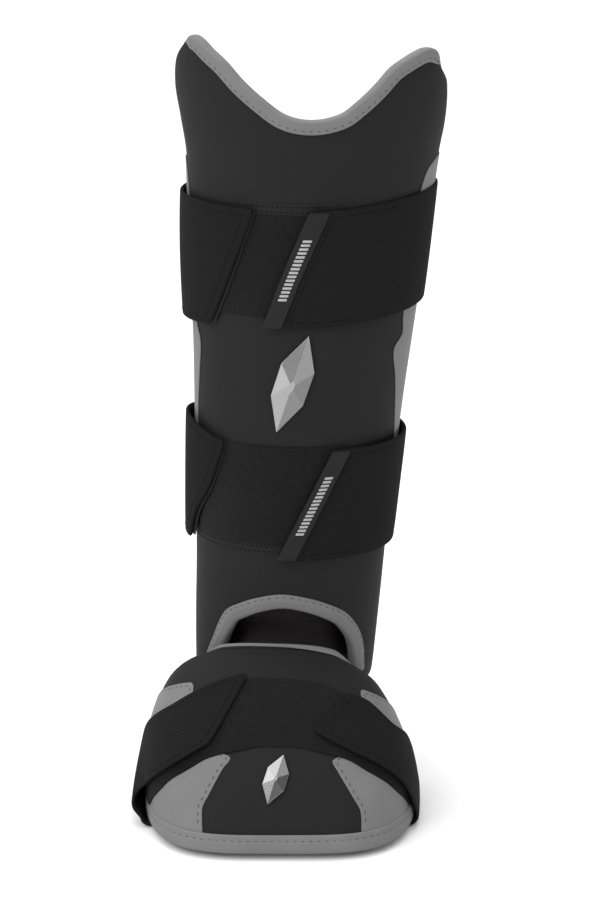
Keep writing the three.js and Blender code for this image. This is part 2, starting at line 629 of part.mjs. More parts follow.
// One shin strap: loop patch, hook pad, strap round the calf and pull tab
function buildShinStrap(strap) {
  const { name, tab, patch } = strap;
  const leftEnd = curveThrough(strap.leftEnd, "up", "angle");
  const rightEnd = (up) => lerp(tab.low, tab.high, up);
  const height = (angle, up) => {
    const across = Math.sin(degToRad(angle));
    const { right, leftLow, leftHigh, leftPower } = strap.rise;
    const risen = right * Math.max(across, 0) ** RIGHT_RISE_POWER;
    const left = lerp(leftLow, leftHigh, up) * Math.max(-across, 0) ** leftPower;
    return lerp(strap.low, strap.high, up) + risen + left;
  };
  const patchTop = CLEARANCE + LOOP;
  const padLow = patchTop + CLEARANCE;
  const padTop = padLow + HOOK;
  const upShare = (v) => (v - strap.low) / (strap.high - strap.low);

  const patchPlaces = steps(patch.low, patch.high, 6).map((v) => {
    const left = leftEnd(clamp(upShare(v), 0, 1)) - patch.leftMargin;
    return steps(left, patch.right, patch.columns).map((u) => [u, v]);
  });
  const patchWall = wall(shin, patchPlaces, () => CLEARANCE, () => patchTop);
  addPiece(`${name}_loop_patch`, patchWall, FUZZ);

  const padPlaces = steps(HOOK_PAD.margin, 1 - HOOK_PAD.margin, 4).map((up) => {
    const end = leftEnd(up) + HOOK_PAD.peek * (1 - up);
    return steps(end - HOOK_PAD.reach, end, 4).map((u) => [u, height(u, up)]);
  });
  addPiece(`${name}_hook_pad`, wall(shin, padPlaces, () => padLow, () => padTop), WEBBING);

  // Angles run from the right end round the calf to the left end, one turn further on
  const rightRest = patchTop + LOOSE_CLEARANCE;
  const leftRest = padTop + LOOSE_CLEARANCE;
  const low = (angle) => {
    const swell = strap.swell * Math.exp(-(((angle - SWELL.middle) / SWELL.spread) ** 2));
    return lerp(rightRest, leftRest, smoothstep(angle, STRAP_CLIMB.from, STRAP_CLIMB.to)) + swell;
  };
  const strapPlaces = steps(0, 1, 3).map((up) => {
    return steps(rightEnd(up), 360 + leftEnd(up), 34).map((u) => [u, height(u, up)]);
  });
  const strapWall = wall(shin, strapPlaces, low, (angle) => low(angle) + STRAP);
  addPiece(`${name}_strap`, strapWall, WEBBING);

  const tabLow = rightRest + STRAP + CLEARANCE;
  const tabPlaces = steps(PULL_TAB.from, PULL_TAB.to, 6).map((up) => {
    const start = rightEnd(up) - PULL_TAB.overhang;
    return steps(start, start + tab.wide, 2).map((u) => [u, height(u, up)]);
  });
  addPiece(`${name}_pull_tab`, wall(shin, tabPlaces, () => tabLow, () => tabLow + TAB), RUBBER);
}

// Loop patch across the foot cover, raised where it lies on the side panels
function buildFootPatch() {
  const back = curveThrough(FOOT_PATCH, "side", "back");
  const front = curveThrough(FOOT_PATCH, "side", "front");
  const end = FOOT_PATCH.at(-1).side;
  const low = (side) => {
    const ramp = smoothstep(Math.abs(side), FOOT_PATCH_RAMP.from, FOOT_PATCH_RAMP.to);
    return CLEARANCE + FOOT_PATCH_RAMP.raised * ramp;
  };
  const places = steps(-end, end, 24).map((side) => {
    return steps(back(Math.abs(side)), front(Math.abs(side)), 3).map((down) => [side, down]);
  });
  addPiece("foot_loop_patch", wall(foot, places, low, (side) => low(side) + LOOP), FUZZ);
}

// Foot strap: down both sides of the foot cover, round the rim and flat under the sole
function buildFootStrap() {
  const { stand, closing, tilt, sole, tuck, turn } = FOOT_STRAP;
  const rest = CLEARANCE + FOOT_PATCH_RAMP.raised + LOOP + LOOSE_CLEARANCE;
  const overCover = (rows, height) => {
    const [backSide, backDown, frontSide, frontDown] = ["backSide", "backDown", "frontSide", "frontDown"]
      .map((column) => curveThrough(rows, "along", column));
    return (along, across) => {
      const side = lerp(backSide(along), frontSide(along), across);
      const down = lerp(backDown(along), frontDown(along), across);
      const closed = closing.share * smoothstep(along, closing.from, closing.to);
      const hump = smoothstep(along, stand.from, stand.to) * (1 - closed);
      const lift = rest + STRAP / 2 + height * hump * across + tilt * across ** 3;
      return foot.point(side, down, lift);
    };
  };
  const left = overCover(FOOT_STRAP_LEFT, stand.left);
  const right = overCover(FOOT_STRAP_RIGHT, stand.right);
  const points = steps(0, 1, 3).map((across) => {
    const leftRim = left(1, across);
    const rightRim = right(1, across);
    const middle = leftRim.clone().lerp(rightRim, 0.5);
    const under = (rim, share) => middle.clone().lerp(rim, share).setZ(sole);
    const round = (rim, share) => middle.clone().lerp(rim, share).setZ(sole * turn.drop);
    return [
      ...steps(0, 1, 12).map((along) => left(along, across)),
      round(leftRim, turn.left),
      ...steps(tuck, -tuck, 6).map((share) => {
        return share > 0 ? under(leftRim, share) : under(rightRim, -share);
      }),
      round(rightRim, turn.right),
      ...steps(1, 0, 12).map((along) => right(along, across)),
    ];
  });
  addPiece("foot_strap", sheet(points, STRAP), WEBBING);
}

// Mesh tongue from inside the shin to under the foot cover
function buildTongue() {
  const { shinLeft, shinRight, footLeft, footRight, sides } = TONGUE;
  const points = TONGUE_ROWS.map((row) => steps(-1, 1, 10).map((across) => {
    const onShin = shin.point(across * (across < 0 ? shinLeft : shinRight), row.height, row.shinLift);
    const onFoot = foot.point(across * (across < 0 ? footLeft : footRight), row.down, row.footLift);
    return onShin.lerp(onFoot, row.onFoot * (1 - smoothstep(Math.abs(across), sides.from, sides.to)));
  }));
  addPiece("ankle_tongue", sheet(points, MESH), MESH_CLOTH);
}

// Lozenge badge with short parallel shoulders and a bevelled face, laid on a surface
function buildBadge(name, surface, { place, halfWidth, halfHeight, face, lean }) {
  const [u, v] = place;
  const normal = surface.normal(u, v);
  const up = new THREE.Vector3(0, 0, 1).projectOnPlane(normal).normalize();
  const right = up.clone().cross(normal);
  const outline = [
    [0, 1],
    [1, BADGE.shoulder],
    [1, -BADGE.shoulder],
    [0, -1],
    [-1, -BADGE.shoulder],
    [-1, BADGE.shoulder],
  ];
  const [cos, sin] = [Math.cos(degToRad(lean)), Math.sin(degToRad(lean))];
  const ring = (share, lift) => outline.map(([x, y]) => {
    const [across, along] = [x * halfWidth * share, y * halfHeight * share];
    const direction = right.clone().multiplyScalar(across * cos + along * sin);
    direction.addScaledVector(up, along * cos - across * sin);
    const [stepU, stepV] = surface.stepAlong(u, v, direction);
    return surface.point(u + stepU, v + stepV, lift);
  });
  const rings = [
    ring(1, BADGE.seat),
    ring(1, BADGE.seat + BADGE.flank),
    ring(BADGE.faceShare, BADGE.seat + face),
  ];
  const sides = outline.length;
  const points = [...rings.flat(), ring(0, BADGE.seat)[0], ring(0, BADGE.seat + face)[0]];
  const [bottom, top] = [points.length - 2, points.length - 1];
  const faces = [];
  for (let k = 0; k < sides; k += 1) {
    const next = (k + 1) % sides;
    for (const start of [0, sides]) {
      const [low, high] = [start, start + sides];
      faces.push(...quad(points, low + k, low + next, high + next, high + k));
    }
    faces.push([bottom, next, k]);
    faces.push([top, 2 * sides + k, 2 * sides + next]);
  }
  addPiece(name, solid(points, faces), METAL);
}

buildShin();
buildShinPanels();
buildShinStrap(UPPER_STRAP);
buildShinStrap(LOWER_STRAP);
buildBadge("shin_badge", shin, SHIN_BADGE);
buildTongue();
buildFoot();
buildFootPanels();
buildFootPatch();
buildFootStrap();
buildBadge("foot_badge", foot, FOOT_BADGE);

export default guard;
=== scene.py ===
import math

import bpy
import numpy as np
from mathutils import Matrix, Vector


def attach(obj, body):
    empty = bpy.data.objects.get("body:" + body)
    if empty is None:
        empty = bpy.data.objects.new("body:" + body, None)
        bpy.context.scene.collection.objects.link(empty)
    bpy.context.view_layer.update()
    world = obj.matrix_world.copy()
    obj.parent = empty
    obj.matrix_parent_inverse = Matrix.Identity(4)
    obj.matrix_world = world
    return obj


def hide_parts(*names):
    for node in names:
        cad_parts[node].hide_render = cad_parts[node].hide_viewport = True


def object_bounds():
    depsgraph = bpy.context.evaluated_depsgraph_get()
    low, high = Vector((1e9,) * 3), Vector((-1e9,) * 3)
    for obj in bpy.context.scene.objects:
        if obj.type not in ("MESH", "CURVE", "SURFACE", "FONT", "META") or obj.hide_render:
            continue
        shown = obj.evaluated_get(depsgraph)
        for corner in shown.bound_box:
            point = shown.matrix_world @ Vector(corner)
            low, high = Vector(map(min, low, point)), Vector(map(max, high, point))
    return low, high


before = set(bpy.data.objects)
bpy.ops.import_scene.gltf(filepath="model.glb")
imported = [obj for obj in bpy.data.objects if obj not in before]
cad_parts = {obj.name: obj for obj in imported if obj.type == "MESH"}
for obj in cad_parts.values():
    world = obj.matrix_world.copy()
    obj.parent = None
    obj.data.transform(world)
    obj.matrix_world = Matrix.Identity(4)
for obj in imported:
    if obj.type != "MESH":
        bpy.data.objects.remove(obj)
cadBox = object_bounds()
print("frame loaded,", len(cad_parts), "nodes")

# Shapes are worked out in millimetres above the sole, toe towards -Y, and moved to the frame at the end
seat = np.array([7.0, 0.0, 232.0])


# Small tools
def smooth(value, low, high):
    t = np.clip((value - low) / (high - low), 0, 1)
    return t * t * (3 - 2 * t)


def mix(a, b, share):
    return a + (b - a) * share


def unit(vectors):
    return vectors / np.linalg.norm(vectors, axis=-1, keepdims=True)


# 0 from reach inwards, and a quarter circle up to 1 at the edge
def quarterRound(distance, reach):
    share = np.clip(1 - distance / reach, 0, 1)
    return 1 - np.sqrt(1 - share**2)


def lengthAlong(points):
    gaps = np.linalg.norm(np.diff(points, axis=0), axis=-1)
    return np.concatenate([[0], np.cumsum(gaps)])


# Smooth curve through a table: cubic between rows, slope from the rows beside, level past both ends
def curveThrough(keys, values):
    keys = np.array(keys, float)
    values = np.array(values, float)
    last = len(keys) - 1
    before = np.maximum(np.arange(last + 1) - 1, 0)
    after = np.minimum(np.arange(last + 1) + 1, last)
    slopes = (values[after] - values[before]) / (keys[after] - keys[before])

    def at(value):
        value = np.clip(value, keys[0], keys[-1])
        i = np.clip(np.searchsorted(keys, value, side="right") - 1, 0, last - 1)
        span = keys[i + 1] - keys[i]
        t = (value - keys[i]) / span
        rest = 1 - t
        first = rest**2 * ((1 + 2 * t) * values[i] + t * span * slopes[i])
        return first + t**2 * ((1 + 2 * rest) * values[i + 1] - rest * span * slopes[i + 1])

    return at


# Smooth line through points along an axis of an array: the same cubic, by the mean length between them
def lineThrough(points, count):
    gaps = np.linalg.norm(np.diff(points, axis=0), axis=-1)
    length = np.concatenate([[0], np.cumsum(gaps.reshape(len(gaps), -1).mean(1))])
    flat = points.reshape(len(points), -1)
    at = np.linspace(0, length[-1], count)
    columns = [curveThrough(length, flat[:, k])(at) for k in range(flat.shape[1])]
    return np.stack(columns, 1).reshape((count,) + points.shape[1:])


# Soft random relief on a grid, about 1 high, blurred over a few cells
def relief(shape, seed, blur):
    field = np.random.default_rng(seed).standard_normal(shape)
    for _ in range(blur):
        for axis in (0, 1):
            field = (np.roll(field, 1, axis) + 2 * field + np.roll(field, -1, axis)) / 4
    return field / field.std()


# Nap of a loop fabric: fine and coarse relief, each with its height in millimetres and its blur
napForm = ((0.05, 1), (0.03, 4))


def nap(shape, seed):
    return sum(height * relief(shape, seed + k, blur) for k, (height, blur) in enumerate(napForm))


# A surface that pieces lie on: normal by central differences, point(u, v, lift) = base + lift * normal
class Surface:
    def __init__(self, base, stepU, stepV, turn):
        self.base = base
        self.stepU = stepU
        self.stepV = stepV
        self.turn = turn

    def slopes(self, u, v):
        a = (self.base(u + self.stepU, v) - self.base(u - self.stepU, v)) / (2 * self.stepU)
        b = (self.base(u, v + self.stepV) - self.base(u, v - self.stepV)) / (2 * self.stepV)
        return a, b

    def normal(self, u, v):
        a, b = self.slopes(u, v)
        return unit(np.cross(a, b)) * self.turn

    def point(self, u, v, lift):
        return self.base(u, v) + self.normal(u, v) * np.asarray(lift)[..., None]

    # change of (u, v) for one millimetre along a direction in the surface
    def stepAlong(self, u, v, direction):
        a, b = self.slopes(u, v)
        aa, ab, bb = (a * a).sum(-1), (a * b).sum(-1), (b * b).sum(-1)
        da, db = (direction * a).sum(-1), (direction * b).sum(-1)
        scale = aa * bb - ab * ab
        return (da * bb - db * ab) / scale, (db * aa - da * ab) / scale


# Shin form: an oval for each height, with flanks that reach further round at the ankle
shinForm = {
    "height": [40, 90, 128, 170, 213, 253, 300, 352, 372, 392, 430],
    "halfWidth": [49.6, 51.9, 53.1, 55.0, 57.2, 60.0, 64.3, 68.5, 71.8, 74.5, 75.8],
    "front": [43, 45.2, 47, 49, 51, 54, 57, 60, 61.5, 63, 64],
    "back": [46, 49, 52, 56, 60, 64, 65, 66, 65, 64, 62],
    "middle": [-4.0, -1.8, 0.35, 2.4, 4.7, 7.2, 9.3, 12.3, 12.8, 12.4, 12.6],
    "backAngle": 115.0,
    "wrap": 30.0,
    "wrapFrom": 60.0,
    "wrapHeights": (50.0, 150.0),
}
shinColumns = ("halfWidth", "front", "back", "middle")
shinAt = {key: curveThrough(shinForm["height"], shinForm[key]) for key in shinColumns}


def shinBase(angle, height):
    start, end = shinForm["wrapFrom"], shinForm["backAngle"]
    share = np.clip((np.abs(angle) - start) / (end - start), 0, 1)
    wrap = shinForm["wrap"] * share * (1 - smooth(height, *shinForm["wrapHeights"]))
    turn = np.radians(angle + np.sign(angle) * wrap)
    depth = np.where(np.cos(turn) > 0, shinAt["front"](height), shinAt["back"](height))
    across = shinAt["middle"](height) + shinAt["halfWidth"](height) * np.sin(turn)
    return np.stack(np.broadcast_arrays(across, -depth * np.cos(turn), height), -1).astype(float)


shin = Surface(shinBase, stepU=0.2, stepV=0.2, turn=1)

# Foot form: each rib is a quadratic curve from the ankle edge over a crown to the rim
footForm = {
    "ankle": {"middle": -9.6, "halfWidth": 63.2, "top": 86, "low": 28, "front": -50, "sweep": 44,
              "square": 2.6},
    "rim": {"middle": -5.1, "halfWidth": 75.1, "back": -6, "length": 126.2, "square": 3.9},
    "crown": {"left": 1.042, "right": 0.965, "over": (-0.5, 0.5), "forward": 0.76, "high": 0.74},
    "tilt": 0.03,
}


def superellipse(turn, square):
    across, ahead = np.sin(turn), np.cos(turn)
    reach = (np.abs(across) ** square + np.abs(ahead) ** square) ** (-1 / square)
    return reach * across, reach * ahead


def footBase(side, down):
    side, down = np.broadcast_arrays(np.asarray(side, float), np.asarray(down, float))
    ankle, rim, crown = footForm["ankle"], footForm["rim"], footForm["crown"]
    turn = side * math.pi / 2
    ankleAcross, ankleUp = superellipse(turn, ankle["square"])
    rimAcross, rimAhead = superellipse(turn, rim["square"])
    top = np.stack([
        ankle["middle"] + ankle["halfWidth"] * ankleAcross,
        ankle["front"] + ankle["sweep"] * (1 - np.cos(turn)),
        mix(ankle["low"], ankle["top"], ankleUp) - footForm["tilt"] * ankle["halfWidth"] * ankleAcross,
    ], -1)
    low = np.stack([
        rim["middle"] + rim["halfWidth"] * rimAcross,
        rim["back"] - rim["length"] * rimAhead,
        np.zeros_like(side),
    ], -1)
    wide = mix(crown["left"], crown["right"], smooth(side, *crown["over"]))
    bend = np.stack([
        rim["middle"] + rim["halfWidth"] * rimAcross * wide,
        mix(top[..., 1], low[..., 1], crown["forward"]),
        mix(low[..., 2], top[..., 2], crown["high"]),
    ], -1)
    t = down[..., None]
    return top * (1 - t) ** 2 + bend * 2 * t * (1 - t) + low * t**2


foot = Surface(footBase, stepU=0.002, stepV=0.002, turn=-1)


# Meshes
def gridFaces(index):
    return np.stack([index[:-1, :-1], index[1:, :-1], index[1:, 1:], index[:-1, 1:]], -1).reshape(-1, 4)


# Lengths along a grid's middle lines, in metres, as its UV map
def gridUv(grid):
    rows, cols = grid.shape[:2]
    u = lengthAlong(grid[rows // 2]) / 1000
    v = lengthAlong(grid[:, cols // 2]) / 1000
    return np.stack(np.broadcast_arrays(u[None, :], v[:, None]), -1)


def flatSize(grid):
    return tuple(float(length) for length in gridUv(grid)[-1, -1])


# Lengths along and across a band whose rows may lie aslant to it: each row is split into its two parts
def bandUv(grid):
    middle = grid[:, grid.shape[1] // 2]
    way = unit(np.gradient(middle, axis=0))
    spread = grid[:, -1] - grid[:, 0]
    slant = (spread * way).sum(-1)
    width = np.sqrt((spread**2).sum(-1) - slant**2)
    across = lengthAlong(grid[0])
    share = across / across[-1] - 0.5
    along = lengthAlong(middle)[:, None] + share * slant[:, None]
    return np.stack([share * width[:, None], along], -1) / 1000


def makeMesh(name, points, faces, uv):
    mesh = bpy.data.meshes.new(name)
    mesh.from_pydata(((points - seat) / 1000).tolist(), [], faces)
    corners = np.empty(len(mesh.loops), np.int32)
    mesh.loops.foreach_get("vertex_index", corners)
    layer = mesh.uv_layers.new(name="UVMap")
    layer.data.foreach_set("uv", uv[corners].astype(np.float32).ravel())
    mesh.shade_smooth()
    mesh.update()
    return mesh


def addPiece(name, mesh, finish, *nodes):
    piece = bpy.data.objects.new(name, mesh)
    bpy.context.scene.collection.objects.link(piece)
    mesh.materials.append(finishes[finish])
    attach(piece, "root")
    if nodes:
        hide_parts(*nodes)
    return piece


# Closed slab between two grids: its border is a half round, mid + half * sin(turn) + out * bulge * cos(turn)
borderTurns = (60, 30, 0, -30, -60)


def slab(outer, inner, bulge, uv=None):
    rows, cols = outer.shape[:2]
    i, j = rows // 2, cols // 2
    here = outer[i, j]
    facing = np.cross(outer[i + 1, j] - here, outer[i, j + 1] - here) @ (here - inner[i, j])
    uv = gridUv(outer) if uv is None else uv
    if facing < 0:
        outer, inner, uv = outer[:, ::-1], inner[:, ::-1], uv[:, ::-1]
    uv = uv.reshape(-1, 2)
    count = rows * cols
    index = np.arange(count).reshape(rows, cols)
    loop = np.concatenate([index[0, :-1], index[:-1, -1], index[-1, :0:-1], index[:0:-1, 0]])
    high = outer.reshape(-1, 3)[loop]
    low = inner.reshape(-1, 3)[loop]
    middle, half = (high + low) / 2, (high - low) / 2
    along = np.roll(middle, -1, 0) - np.roll(middle, 1, 0)
    out = unit(np.cross(half, along))
    turns = np.radians(borderTurns)[:, None, None]
    rings = middle + half * np.sin(turns) + out * bulge * np.cos(turns)
    points = np.concatenate([outer.reshape(-1, 3), inner.reshape(-1, 3), rings.reshape(-1, 3)])
    ringIndex = 2 * count + np.arange(len(rings) * len(loop)).reshape(len(rings), -1)
    levels = np.concatenate([loop[None], ringIndex, loop[None] + count])
    upper, lower = levels[:-1], levels[1:]
    strips = np.stack([upper, np.roll(upper, -1, 1), np.roll(lower, -1, 1), lower], -1).reshape(-1, 4)
    faces = np.concatenate([gridFaces(index), gridFaces(index + count)[:, ::-1], strips])
    return points, faces.tolist(), np.concatenate([uv, uv, np.tile(uv[loop], (len(rings), 1))])


def addSlab(name, outer, inner, bulge, finish, *nodes, uv=None):
    return addPiece(name, makeMesh(name, *slab(outer, inner, bulge, uv)), finish, *nodes)


# Slab between two heights over a surface: gives the piece and its outer grid
def addLayer(name, surface, u, v, high, low, bulge, finish, *nodes):
    outer, inner = surface.point(u, v, high), surface.point(u, v, low)
    return addSlab(name, outer, inner, bulge, finish, *nodes), outer


# Columns from corner to corner of a shell: even between, and closer together round the corners
cornerTurns = np.radians(np.linspace(0, 90, 13)[1:])


def columnsTo(end, reach, count):
    start = end - reach
    corner = start + reach * np.sin(cornerTurns)
    return np.concatenate([-corner[::-1], np.linspace(-start, start, count), corner])


# Path along an edge at even steps, with the way past the edge in surface steps
def edgePath(surface, u, v, spacing):
    length = lengthAlong(surface.base(u, v))
    at = np.linspace(0, length[-1], int(round(length[-1] / spacing)) + 1)
    path = {"at": at, "u": np.interp(at, length, u), "v": np.interp(at, length, v)}
    along = unit(np.gradient(surface.base(path["u"], path["v"]), axis=0))
    beyond = unit(np.cross(along, surface.normal(path["u"], path["v"])))
    path["stepU"], path["stepV"] = surface.stepAlong(path["u"], path["v"], beyond)
    return path


def pathPoint(surface, path, past, lift):
    shape = (-1,) + (1,) * (np.ndim(past) - 1)
    u, v, stepU, stepV = (path[key].reshape(shape) for key in ("u", "v", "stepU", "stepV"))
    return surface.point(u + past * stepU, v + past * stepV, lift)


# Bindings: what all of them share. A faded one is narrower and ends short of the edge
bindingForm = {
    "thick": 1.0, "rest": 0.15, "square": 2.6, "innerBand": 5.5, "spacing": 0.75, "bandOver": (0.0, 0.35),
    "swellPower": 0.7, "edgeDrop": 0.7, "edgeReach": 0.8, "stitchReach": 1.2, "stitchPull": 0.2,
    "fadedBand": 0.1, "fadedWeb": -2.0, "sewnFade": 0.6, "threadOnSwell": 0.6, "threadSink": 0.28,
    "flangePoints": 14, "foldPoints": 17, "outerPoints": 5, "innerPoints": 4, "underPoints": 5,
}


# Folded leather: a flange, a rounded fold and an inner flange, as a section carried along the edge.
# Where fade goes from 1 to 0 the leather narrows and sinks into the padding
def foldedBinding(surface, path, wall, band, form, fade):
    thick, rest = form["thick"], form["rest"]
    fade = fade[:, None]
    band = band[:, None] * mix(form["fadedBand"], 1, fade)
    sink = form["sink"] * (1 - fade)
    x = np.linspace(0, 1, form["flangePoints"])
    turn = np.radians(np.linspace(90, -90, form["foldPoints"]))[1:-1]
    power = 2 / form["square"]
    foldPast = np.cos(turn) ** power
    foldLift = np.sign(np.sin(turn)) * np.abs(np.sin(turn)) ** power
    wave = 0.5 - 0.5 * np.cos(2 * math.pi * path["at"] / form["pitch"])[:, None]
    nearStitch = np.exp(-((x * band - form["inset"]) / form["stitchReach"]) ** 2) * fade
    edgeRound = form["edgeDrop"] * thick * np.clip(1 - x * band / form["edgeReach"], 0, 1) ** 2
    swell = form["swell"] * np.sin(math.pi * x) ** form["swellPower"]
    pulled = nearStitch * (form["stitchPull"] + form["pucker"] * wave)
    topLift = rest + thick + swell - edgeRound - pulled - sink
    zero = np.zeros_like(band)

    # inward 0 gives the outer skin of the leather, and its thickness gives the inner one
    def skin(inward, count):
        high = rest + thick - inward - sink
        low = zero - wall - rest - thick + inward
        reach = mix(form["fadedWeb"], form["web"], fade) - inward
        y = np.linspace(0, 1, count)
        fold = -wall / 2 + foldLift * np.where(foldLift > 0, wall / 2 + high, -wall / 2 - low)
        past = np.concatenate([reach * foldPast, zero - form["innerBand"] * y], 1)
        return past, np.concatenate([fold, low + 0 * y], 1)

    outerPast, outerLift = skin(0, form["outerPoints"])
    innerPast, innerLift = skin(thick, form["innerPoints"])
    under = np.linspace(0, 1, form["underPoints"])
    past = np.concatenate([-band * (1 - x), outerPast, innerPast[:, ::-1], -band * under], 1)
    lift = np.concatenate([topLift, outerLift, innerLift[:, ::-1], rest - sink + 0 * under], 1)
    points = pathPoint(surface, path, past, lift)
    rows, sides = points.shape[:2]
    index = np.arange(rows * sides).reshape(rows, sides)
    faces = gridFaces(np.concatenate([index, index[:, :1]], 1))
    flat = points.reshape(-1, 3)
    a, b, c, d = (flat[faces[:, k]] for k in range(4))
    volume = (np.cross(a, b) * c).sum() + (np.cross(a, c) * d).sum()
    facesList = faces.tolist() + [index[0, ::-1].tolist(), index[-1].tolist()]
    if volume < 0:
        facesList = [face[::-1] for face in facesList]
    girth = lengthAlong(points[rows // 2])
    uv = np.stack(np.broadcast_arrays(path["at"][:, None], girth[None, :]), -1) / 1000
    return flat, facesList, uv.reshape(-1, 2)


# Stitches: each is a short capsule whose ends dip, at even steps along a line of points
stitchForm = {"rings": 7, "sides": 6, "ends": 0.06, "flat": 0.85, "dip": 0.75}
threadForm = {"pitch": 4.2, "stitch": 2.5, "thread": 0.7, "proud": 0.0}
strapThread = {"pitch": 2.8, "stitch": 1.8, "thread": 0.6, "proud": 0.05}


def stitchRow(points, normals, form):
    length = lengthAlong(points)
    pitch = form["pitch"]
    at = (np.arange(int(length[-1] / pitch)) + 0.5) * pitch

    def spread(values, place):
        return np.stack([np.interp(place, length, values[:, k]) for k in range(3)], 1)

    along = unit(spread(points, at + pitch / 4) - spread(points, at - pitch / 4))
    return spread(points, at), along, unit(spread(normals, at))


def sewnLine(surface, u, v, lift, form):
    return stitchRow(surface.point(u, v, lift), surface.normal(u, v), form)


def stitchMesh(rows, form):
    place, along, up = (np.concatenate([row[k] for row in rows]) for k in range(3))
    side = unit(np.cross(along, up))
    up = np.cross(side, along)
    rings, sides, ends = stitchForm["rings"], stitchForm["sides"], stitchForm["ends"]
    x = np.linspace(-1, 1, rings)[:, None]
    turn = np.linspace(0, 2 * math.pi, sides, endpoint=False)[None, :]
    radius = form["thread"] / 2 * np.sqrt(np.clip(1 + ends - x**4, ends, 1))
    lengthways = x * form["stitch"] / 2 + 0 * turn
    sideways = radius * np.cos(turn)
    dip = form["thread"] * stitchForm["dip"] * x**4
    upwards = radius * stitchForm["flat"] * np.sin(turn) - dip + form["proud"]
    axes = ((along, lengthways), (side, sideways), (up, upwards))
    points = place[:, None, None] + sum(axis[:, None, None] * way[None, ..., None] for axis, way in axes)
    count = len(place)
    index = np.arange(count * rings * sides).reshape(count, rings, sides)
    ring = np.concatenate([index, index[:, :, :1]], 2)
    quads = np.stack([ring[:, :-1, :-1], ring[:, :-1, 1:], ring[:, 1:, 1:], ring[:, 1:, :-1]], -1)
    faces = quads.reshape(-1, 4).tolist() + index[:, 0, ::-1].tolist() + index[:, -1].tolist()
    return points.reshape(-1, 3), faces, np.zeros((index.size, 2))


def addStitches(name, rows, form, finish):
    addPiece(name, makeMesh(name, *stitchMesh(rows, form)), finish)


# A binding along an edge of a shell, and the line of stitches as far in from its border as the form says
def addBinding(name, surface, wall, ownForm):
    form = {**bindingForm, **ownForm}
    u = np.linspace(form["left"], form["right"], form["samples"])
    if form["upper"]:
        u = u[::-1]
    path = edgePath(surface, u, form["edge"](u), form["spacing"])
    toEnd = np.minimum(path["u"] - form["left"], form["right"] - path["u"])
    fade = smooth(toEnd, 0, form["fadeOver"])
    band = mix(*form["band"], smooth(path["u"], *form["bandOver"]))
    mesh = makeMesh(name, *foldedBinding(surface, path, wall, band, form, fade))
    addPiece(name, mesh, "greyLeather", form["node"])
    sewn = fade > form["sewnFade"]
    lift = form["rest"] + form["thick"] + form["swell"] * form["threadOnSwell"] - form["threadSink"]
    points = pathPoint(surface, path, form["inset"] - band, lift)
    return stitchRow(points[sewn], surface.normal(path["u"], path["v"])[sewn], threadForm)


# Materials
def newMaterial(name, roughness, specular, metallic=0.0, sheen=(0.0, 0.5)):
    material = bpy.data.materials.new(name)
    material.use_nodes = True
    shader = material.node_tree.nodes["Principled BSDF"]
    shader.inputs["Roughness"].default_value = roughness
    shader.inputs["Specular IOR Level"].default_value = specular
    shader.inputs["Metallic"].default_value = metallic
    shader.inputs["Sheen Weight"].default_value = sheen[0]
    shader.inputs["Sheen Roughness"].default_value = sheen[1]
    return material, material.node_tree, shader


# An input given as a socket is linked, and any other value is set
def addNode(tree, kind, inputs=(), **settings):
    node = tree.nodes.new(kind)
    for key, value in settings.items():
        setattr(node, key, value)
    for key, value in dict(inputs).items():
        if isinstance(value, bpy.types.NodeSocket):
            tree.links.new(value, node.inputs[key])
        else:
            node.inputs[key].default_value = value
    return node


def placeNode(tree, source):
    return addNode(tree, "ShaderNodeTexCoord").outputs[source]


def noiseFrom(tree, place, scale, detail, roughness=0.5):
    inputs = {"Vector": place, "Scale": scale, "Detail": detail, "Roughness": roughness}
    return addNode(tree, "ShaderNodeTexNoise", inputs).outputs["Fac"]


def rampFrom(tree, value, stops, interpolation="LINEAR"):
    node = addNode(tree, "ShaderNodeValToRGB", {"Fac": value})
    ramp = node.color_ramp
    ramp.interpolation = interpolation
    while len(ramp.elements) < len(stops):
        ramp.elements.new(0.5)
    for element, (position, colour) in zip(ramp.elements, stops):
        element.position = position
        element.color = (*colour, 1)
    return node.outputs["Color"]


# Two close shades, and two close roughnesses, spread over the middle of a noise
noiseSpan = (0.3, 0.7)
noiseRoughness = 0.6


def shadeByNoise(tree, shader, place, shades, scale, detail=3.0):
    noise = noiseFrom(tree, place, scale, detail, noiseRoughness)
    colour = rampFrom(tree, noise, list(zip(noiseSpan, shades)))
    tree.links.new(colour, shader.inputs["Base Color"])
    return noise


def spreadFrom(tree, value, low, high, span, interpolation="LINEAR"):
    inputs = {"Value": value, "From Min": span[0], "From Max": span[1], "To Min": low, "To Max": high}
    return addNode(tree, "ShaderNodeMapRange", inputs, interpolation_type=interpolation).outputs["Result"]


def roughnessFrom(tree, shader, noise, low, high):
    tree.links.new(spreadFrom(tree, noise, low, high, noiseSpan), shader.inputs["Roughness"])


def bumpFrom(tree, shader, height, strength, distance, below=None):
    inputs = {"Height": height, "Strength": strength, "Distance": distance}
    if below is not None:
        inputs["Normal"] = below
    normal = addNode(tree, "ShaderNodeBump", inputs).outputs["Normal"]
    tree.links.new(normal, shader.inputs["Normal"])
    return normal


# Base colour times a share, which paints light and shade into the colour
def scaleShade(tree, shader, share):
    colour = shader.inputs["Base Color"].links[0].from_socket
    scaled = addNode(tree, "ShaderNodeVectorMath", {0: colour, "Scale": share}, operation="SCALE")
    tree.links.new(scaled.outputs["Vector"], shader.inputs["Base Color"])


# Leather: pebble cells over a softer grain, and slow changes of shade and gloss
leatherGrain = {"slow": 45.0, "soft": (700.0, 4.0, 0.65), "softDepth": 0.0004, "cellDepth": 0.0003,
                "random": 0.9}


